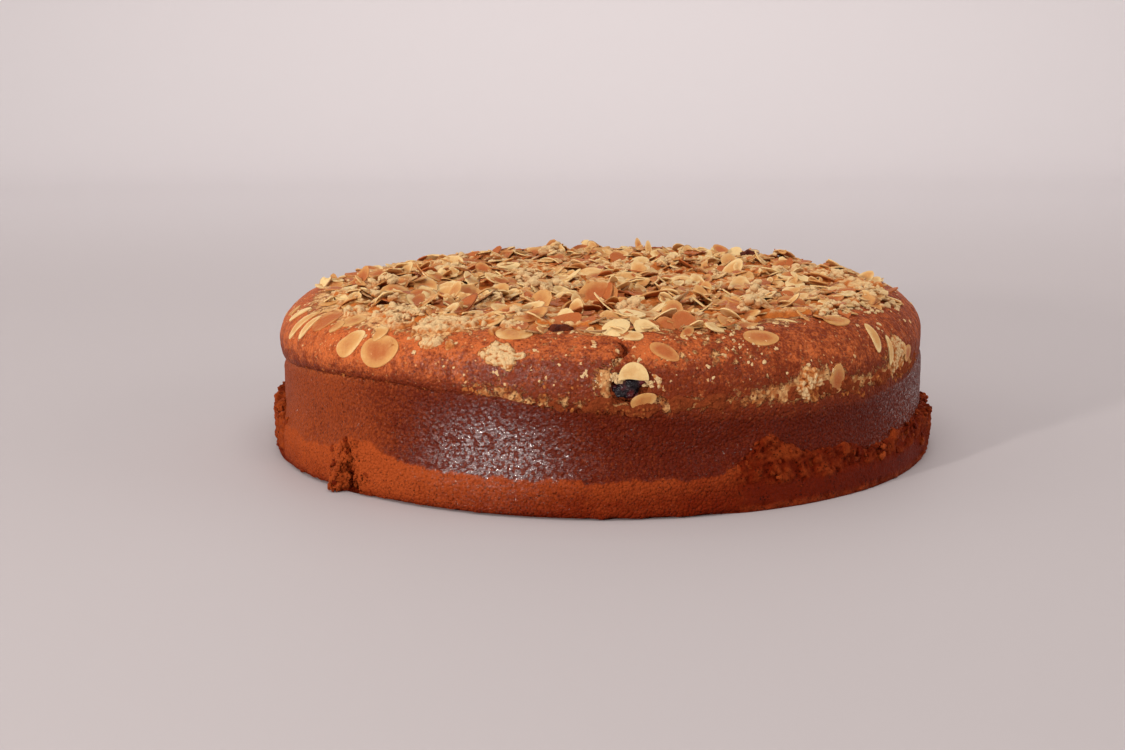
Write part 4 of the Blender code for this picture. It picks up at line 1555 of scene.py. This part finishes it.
fine_forms = (oval, notched, broken, sliver, halved)
fine_shapes = [almond_shape(f"fine_{n}", form, 32) for n, form in enumerate(fine_forms)]
for node, azimuth, climb, length, width, turn, kind, toast_and_shade, has_skin in SHOULDER_SLICES:
    spot = turned_spot(azimuth, climb, turn)
    if node in BERRY_SLICE_BENDS:
        bend = np.array(BERRY_SLICE_BENDS[node])
        spot[:3, 3] += spot[:3, 2] * BERRY_SLICE_RISE
    else:
        spot, bend = rest_on_crust(spot, length, width)
    sink = np.eye(4)
    sink[2, 3] = -SLICE_SUNK
    piece = strewn(
        node.replace("almond_", "slice_"),
        fine_shapes,
        np.array([kind]),
        (spot @ sink @ slice_size(length, width))[None],
        np.array([toast_and_shade]),
        own_bend(bend, length, width)[None],
    )
    piece.data.set_sharp_from_angle(angle=SLICE_EDGE)
    piece.data.materials.append(almond_skinned if has_skin else almond_plain)
    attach(piece, "root")
    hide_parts(node)

# Slivers and shards beside them: azimuth, climb, length, width, turn, kind, toast.
FINE_SLIVERS = [
    (-70.5, 44, 0.0120, 0.0050, 50, 3, 0.25),
    (-75.5, 38, 0.0090, 0.0062, 105, 2, 0.65),
    (-60.5, 36, 0.0120, 0.0050, 78, 3, 0.35),
    (-52.5, 46, 0.0090, 0.0070, 20, 2, 0.75),
    (-41.0, 47, 0.0100, 0.0078, 35, 2, 0.55),
    (55.5, 12, 0.0110, 0.0040, 84, 3, 0.25),
    (58.0, 5, 0.0120, 0.0046, 96, 3, 0.15),
    (60.6, 2, 0.0080, 0.0062, 80, 2, 0.55),
    (63.2, -2, 0.0074, 0.0060, 20, 0, 0.85),
    (46.5, 66, 0.0120, 0.0075, -10, 0, 0.70),
    (4.5, 70, 0.0105, 0.0070, -20, 2, 0.35),
]
kinds, places, toasts, bends = [], [], [], []
for azimuth, climb, length, width, turn, kind, toast_and_shade in FINE_SLIVERS:
    spot, bend = rest_on_crust(turned_spot(azimuth, climb, turn), length, width)
    kinds.append(kind)
    places.append(spot @ slice_size(length, width))
    toasts.append(toast_and_shade)
    bends.append(own_bend(bend, length, width))
slivers = (np.array(each) for each in (kinds, places, toasts, bends))
piece = strewn("slivers_on_crust", slice_shapes, *slivers)
piece.data.set_sharp_from_angle(angle=SLICE_EDGE)
piece.data.materials.append(almond_plain)
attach(piece, "root")

# ---- Crumble baked on to the shoulder -------------------------------------------------------------
# Six patches of crumble stuck to the crust low down, and single grains all over it, thickest at
# the left and along the fold. What fell first sank in and browned.

COARSE_GRAIN = 0.0008  # from this radius on a grain is shaped more finely


def grains(name, host, count, density, sizes, toast_and_shade, sink, flat, reading="toast_and_shade", underside_shade=0.45):
    """Lumps set in a surface, given as points and normals, where its density is high."""
    host_place, host_way = host
    share = np.clip(density, 0, None)
    near = rng.choice(len(share), size=count, p=share / share.sum())
    radii = rng.choice(sizes, size=count) * rng.uniform(0.75, 1.3, count)
    jitter = rng.normal(0, 0.0006, (count, 3))
    out = host_way[near]
    jitter = jitter - out * np.sum(jitter * out, 1)[:, None]
    middles = host_place[near] + jitter + out * (radii * sink)[:, None]
    browned = np.clip(toast_and_shade[near] + rng.normal(0, 0.26, count), 0, 1.5)
    picks = np.where(radii > COARSE_GRAIN, rng.integers(0, 3, count), rng.integers(3, 8, count))
    frames = lump_frames(middles, radii, flat, out)
    # Each grain is painted darker below than on top, as painted shade.
    return strewn(name, blobs, picks, frames, browned, reading=reading, underside_shade=underside_shade)


CLIMB_LENGTH = 0.00032  # metres of crust to a degree of climb
SHEET_THICKNESS = 0.0012


def crust_sheet(name, azimuth, climb, half_round, half_up, pitch, cover_of, lump, seed, toast_and_shade):
    """Crumble fused to the crust: a closed sheet that hugs it, lumpy where cover_of is above 0."""
    deselect()
    across, up = int(2 * half_round / pitch), int(2 * half_up / pitch)
    bpy.ops.mesh.primitive_grid_add(x_subdivisions=across, y_subdivisions=up, size=2)
    sheet = bpy.context.object
    sheet.name = name
    flat = points_of(sheet) * (half_round, half_up, 0)
    azimuths = azimuth + np.degrees(flat[:, 0] / WALL_RADIUS)
    climbs = climb + flat[:, 1] / CLIMB_LENGTH
    wide, middle, high = shoulder(azimuths)
    c = np.radians(climbs)
    guess = around(azimuths, RIDGE_RADIUS + wide * np.cos(c), middle + high * np.sin(c))
    out = around(azimuths, np.cos(c) / wide, np.sin(c) / high)
    out /= np.linalg.norm(out, axis=1)[:, None]
    crust = np.array([body_tree.find_nearest(point)[0] for point in guess.tolist()])
    cover = cover_of(azimuths, climbs, crust)
    warped = flat + 0.0006 * lumps(crust, 0.0030, seed, 2)[:, None]
    domes = 0.55 * cobbles(warped, lump, seed) + 0.45 * cobbles(warped, 0.5 * lump, seed + 3)
    domes = domes * (1 + 0.6 * lumps(crust, 0.0045, seed + 5, 2))
    held = smooth(cover, 0.0, 0.30)
    rise = held * (0.12 + domes) * lump * 0.55 * (0.4 + 0.6 * smooth(cover, 0.0, 0.5))
    rise = rise - (1 - held) * 0.0007 + held * 0.00030 * lumps(crust, 0.0009, seed + 6, 2)
    set_points(sheet, crust + out * rise[:, None])
    # The gaps between the domes are painted browner, as painted shade.
    set_values(sheet, "toast_and_shade", toast_and_shade + 1.7 * (0.55 - domes) + 0.45 * (1 - smooth(cover, 0.0, 0.5)))
    corners = np.empty(len(sheet.data.loops), dtype=np.int64)
    sheet.data.loops.foreach_get("vertex_index", corners)
    gone = cover[corners.reshape(-1, 4)].max(1) <= 0
    edit(sheet, "FACE")
    pick(sheet, "polygons", lambda face: gone[face.index])
    bpy.ops.mesh.delete(type="FACE")
    bpy.ops.object.mode_set(mode="OBJECT")
    solid = sheet.modifiers.new("Thickness", "SOLIDIFY")
    solid.thickness = SHEET_THICKNESS
    solid.offset = -1
    bpy.ops.object.modifier_apply(modifier=solid.name)
    sheet.data.shade_smooth()
    sheet.data.materials.append(crumble_material)
    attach(sheet, "root")
    return sheet


for patch in CRUMB_PATCHES:
    node, azimuth, climb, half_round, half_up, seed, browning = patch

    def cover_of(azimuth, climb, place):
        reach = in_patch(patch, azimuth, climb, place) + 0.30 * lumps(place, 0.0022, 140 + seed, 2)
        return 0.95 - reach

    piece = crust_sheet(
        node.replace("crumble_", "crumbs_"),
        azimuth,
        climb,
        half_round=1.7 * half_round,
        half_up=1.7 * half_up,
        pitch=0.00020,
        cover_of=cover_of,
        lump=0.0021,
        seed=150 + 8 * seed,
        toast_and_shade=browning,
    )
    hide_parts(node)


def fold_cover(azimuth, climb, place):
    """Browned crumble that runs along the fold from the front to the right."""
    share = hump(place[:, 2], 0.0380, 0.0040) * between(azimuth, -20, 2, 62, 74)
    return share * (0.65 - 0.3 * facing(azimuth, 21, 5)) - 0.32 + 0.55 * lumps(place, 0.0050, 201, 3)


def drift_cover(azimuth, climb, place):
    """Pale crumble that spilled over the ridge at the left."""
    near_ridge = 0.75 * smooth(climb, 46, 84) * between(azimuth, -80, -52, -20, -10)
    lower = 0.55 * facing(azimuth, -30, 7) * hump(climb, 44, 17)
    return near_ridge + lower - 0.50 + 1.05 * lumps(place, 0.0046, 203, 3)


crust_sheet(
    "crumble_in_fold",
    azimuth=26,
    climb=-8,
    half_round=0.104,
    half_up=0.0080,
    pitch=0.00028,
    cover_of=fold_cover,
    lump=0.0018,
    seed=211,
    toast_and_shade=2.0,
)
crust_sheet(
    "crumble_drift",
    azimuth=-48,
    climb=66,
    half_round=0.078,
    half_up=0.0100,
    pitch=0.00030,
    cover_of=drift_cover,
    lump=0.0034,
    seed=221,
    toast_and_shade=0.50,
)

low = smooth(body_place[:, 2], 0.0475, 0.0400)
share = crumble_share(body_azimuth, body_climb, body_place[:, 2]) * above_crease
clouds = np.clip(-0.05 + 2.4 * lumps(body_place, 0.0045, 111, 3), 0, 1)
density = share**1.4 * clouds * (body_climb < 84)
density = density + 0.03 * above_crease * (body_climb < 80) * (lumps(body_place, 0.006, 113, 2) > 0.15)
specks = grains(
    "crumbs_on_crust",
    (body_place, body_way),
    count=1200,
    density=density,
    sizes=(0.0004, 0.0006, 0.0009),
    toast_and_shade=0.40 + 1.2 * low,
    sink=-0.35,
    flat=0.7,
)
specks.data.materials.append(crumble_material)
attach(specks, "root")

# ---- Crumbs of torn sponge ------------------------------------------------------------------------
# Bits of bare sponge that came loose when the tin was pulled off. They hang at the split in the
# foot and along the torn ring, and the lowest touch the table.

foot_place, foot_way = points_of(foot), normals_of(foot)
foot_azimuth, foot_height = azimuth_of(foot_place), foot_place[:, 2]
at_tear = facing(foot_azimuth, GAP_AZIMUTH, 3.6) * (foot_height > 0.0006) * (foot_height < 0.016)
at_edge = hump(foot_height - ring_top(foot_azimuth), 0, 0.0022) * (1 - flush(foot_azimuth)) * 0.16
at_right = hump(foot_height, 0.0130, 0.0035) * between(foot_azimuth, 22, 28, 84, 98)
outer = np.hypot(*foot_place[:, :2].T) > WALL_RADIUS - 0.002
torn_crumbs = grains(
    "torn_crumbs",
    (foot_place, foot_way),
    count=420,
    density=(1.5 * at_tear + 0.6 * at_edge + 0.10 * at_right) * outer,
    sizes=(0.0005, 0.0008, 0.0012),
    # Lighter at the left and darker towards the right.
    toast_and_shade=np.clip(0.70 - 0.35 * smooth(foot_azimuth, -40, 30), 0, 1),
    sink=0.1,
    flat=0.9,
    reading="fresh_and_shade",
    # Each crumb is painted lighter on top than below, as painted light and shade.
    underside_shade=-0.2,
)
resting = points_of(torn_crumbs)
resting[:, 2] = np.maximum(resting[:, 2], 0.0)
set_points(torn_crumbs, resting)
torn_crumbs.data.materials.append(foot_paint.material)
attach(torn_crumbs, "root")

# ---- Berries --------------------------------------------------------------------------------------
# Four dark berries that came to the surface: the front one split its crust and shows wet and
# wrinkled in a ragged hole with cream crumble round it; the others are sunk nearly flush.

# Node, azimuth, radius, height, half sizes.
BERRIES = [
    ("berry_front", 4.1, 0.1208, 0.0434, (0.0090, 0.0050, 0.0068)),
    ("berry_ridge", -7.7, 0.1058, 0.0590, (0.0046, 0.0034, 0.0028)),
    ("berry_right", 44.5, 0.1232, 0.0430, (0.0030, 0.0030, 0.0026)),
    ("berry_back", 139.3, 0.1008, 0.0606, (0.0048, 0.0040, 0.0034)),
]

WET_SKIN = (0.008, 0.004, 0.008, 1)
JUICE = (0.12, 0.012, 0.014, 1)
DRIED_SKIN = (0.045, 0.008, 0.005, 1)
DRIED_JUICE = (0.135, 0.026, 0.010, 1)


def berry_finish(name, specular, spots, skin, juice, rough):
    """Wrinkled skin with spots of juice on it."""
    paint = Finish(name, Specular_IOR_Level=specular)
    where = paint.place
    colour = where.noise(300, 3.0).step(*spots).mix(skin, juice)
    scale, spread, least = rough
    bumps = ((where.noise(520, 3.0, 0.6), 0.0018),)
    return paint.paint(colour, where.noise(scale) * spread + least, bumps)


berry_material = berry_finish("berry_skin", 0.4, (0.45, 0.7), WET_SKIN, JUICE, (400, 0.3, 0.1))
dried_material = berry_finish(
    "dried_berry_skin", 0.06, (0.3, 0.7), DRIED_SKIN, DRIED_JUICE, (300, 0.2, 0.4)
)
for number, (node, azimuth, radius, z, half_sizes) in enumerate(BERRIES):
    deselect()
    bpy.ops.mesh.primitive_uv_sphere_add(segments=48, ring_count=28, radius=1.0)
    berry = bpy.context.object
    berry.name = node.replace("berry_", "fruit_")
    round_place = points_of(berry)
    wrinkles = 1 + 0.20 * lumps(round_place, 0.6, 120 + number, 2)
    wrinkles = wrinkles + 0.20 * lumps(round_place, 0.26, 130 + number)
    a = math.radians(azimuth)
    turned = np.array([[math.cos(a), -math.sin(a), 0], [math.sin(a), math.cos(a), 0], [0, 0, 1]])
    shaped = round_place * wrinkles[:, None] * half_sizes
    centre = around(np.array(azimuth), np.array(radius), np.array(z))
    set_points(berry, shaped @ turned.T + centre)
    berry.data.shade_smooth()
    berry.data.materials.append(dried_material if number else berry_material)
    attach(berry, "root")
    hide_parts(node)

# Cream lumps round the open berry: azimuth, height and radius.
BERRY_CRUMBS = [
    (2.1, 0.0480, 0.0013),
    (2.4, 0.0472, 0.0011),
    (0.9, 0.0464, 0.0008),
    (7.5, 0.0464, 0.0012),
    (8.1, 0.0454, 0.0010),
    (7.2, 0.0446, 0.0009),
]
BERRY_CRUMB_REACH = 0.1250
DEGREE_ROUND = 0.0022  # metres round the side to a degree of azimuth

middles, radii = [], []
for azimuth, z, radius in BERRY_CRUMBS:
    for _ in range(7):
        turn_of = azimuth + rng.normal(0, 0.42)
        off_round = away(body_azimuth, turn_of) * DEGREE_ROUND
        near = np.argmin(np.hypot(off_round, body_place[:, 2] - z - rng.normal(0, 0.0006)))
        reach = BERRY_CRUMB_REACH + rng.uniform(0, 0.0012)
        middles.append(around(np.array(turn_of), np.array(reach), body_place[near, 2]))
        radii.append(radius * rng.uniform(0.6, 1.1))
crumbs = strewn(
    "crumbs_round_berry",
    blobs,
    rng.integers(0, 3, len(radii)),
    lump_frames(np.array(middles), np.array(radii)),
    rng.uniform(0, 0.15, len(radii)),
)
crumbs.data.materials.append(crumble_material)
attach(crumbs, "root")


def berry_ring(azimuth, climb, place):
    """Cream crumble in a broken ring round the open berry."""
    across = np.radians(away(azimuth, HOLE_AZIMUTH)) * WALL_RADIUS
    reach = hole_reach(azimuth, place[:, 2]) + 0.35 * lumps(place, 0.0035, 21, 2)
    ring = 0.22 - np.abs(reach - 1.30) + 0.30 * lumps(place, 0.0030, 231, 2)
    ring = ring - 0.8 * smooth(place[:, 2], 0.0432, 0.0405)
    return ring - 0.4 * (across < 0.002) * (place[:, 2] < 0.0470)


crust_sheet(
    "crumble_round_berry",
    azimuth=HOLE_AZIMUTH,
    climb=2,
    half_round=0.0145,
    half_up=0.0120,
    pitch=0.00022,
    cover_of=berry_ring,
    lump=0.0013,
    seed=233,
    toast_and_shade=0.55,
)

# The shapes that the copies were made from are done with.
for shape in (*blobs, *slice_shapes, *fine_shapes):
    bpy.data.objects.remove(shape)
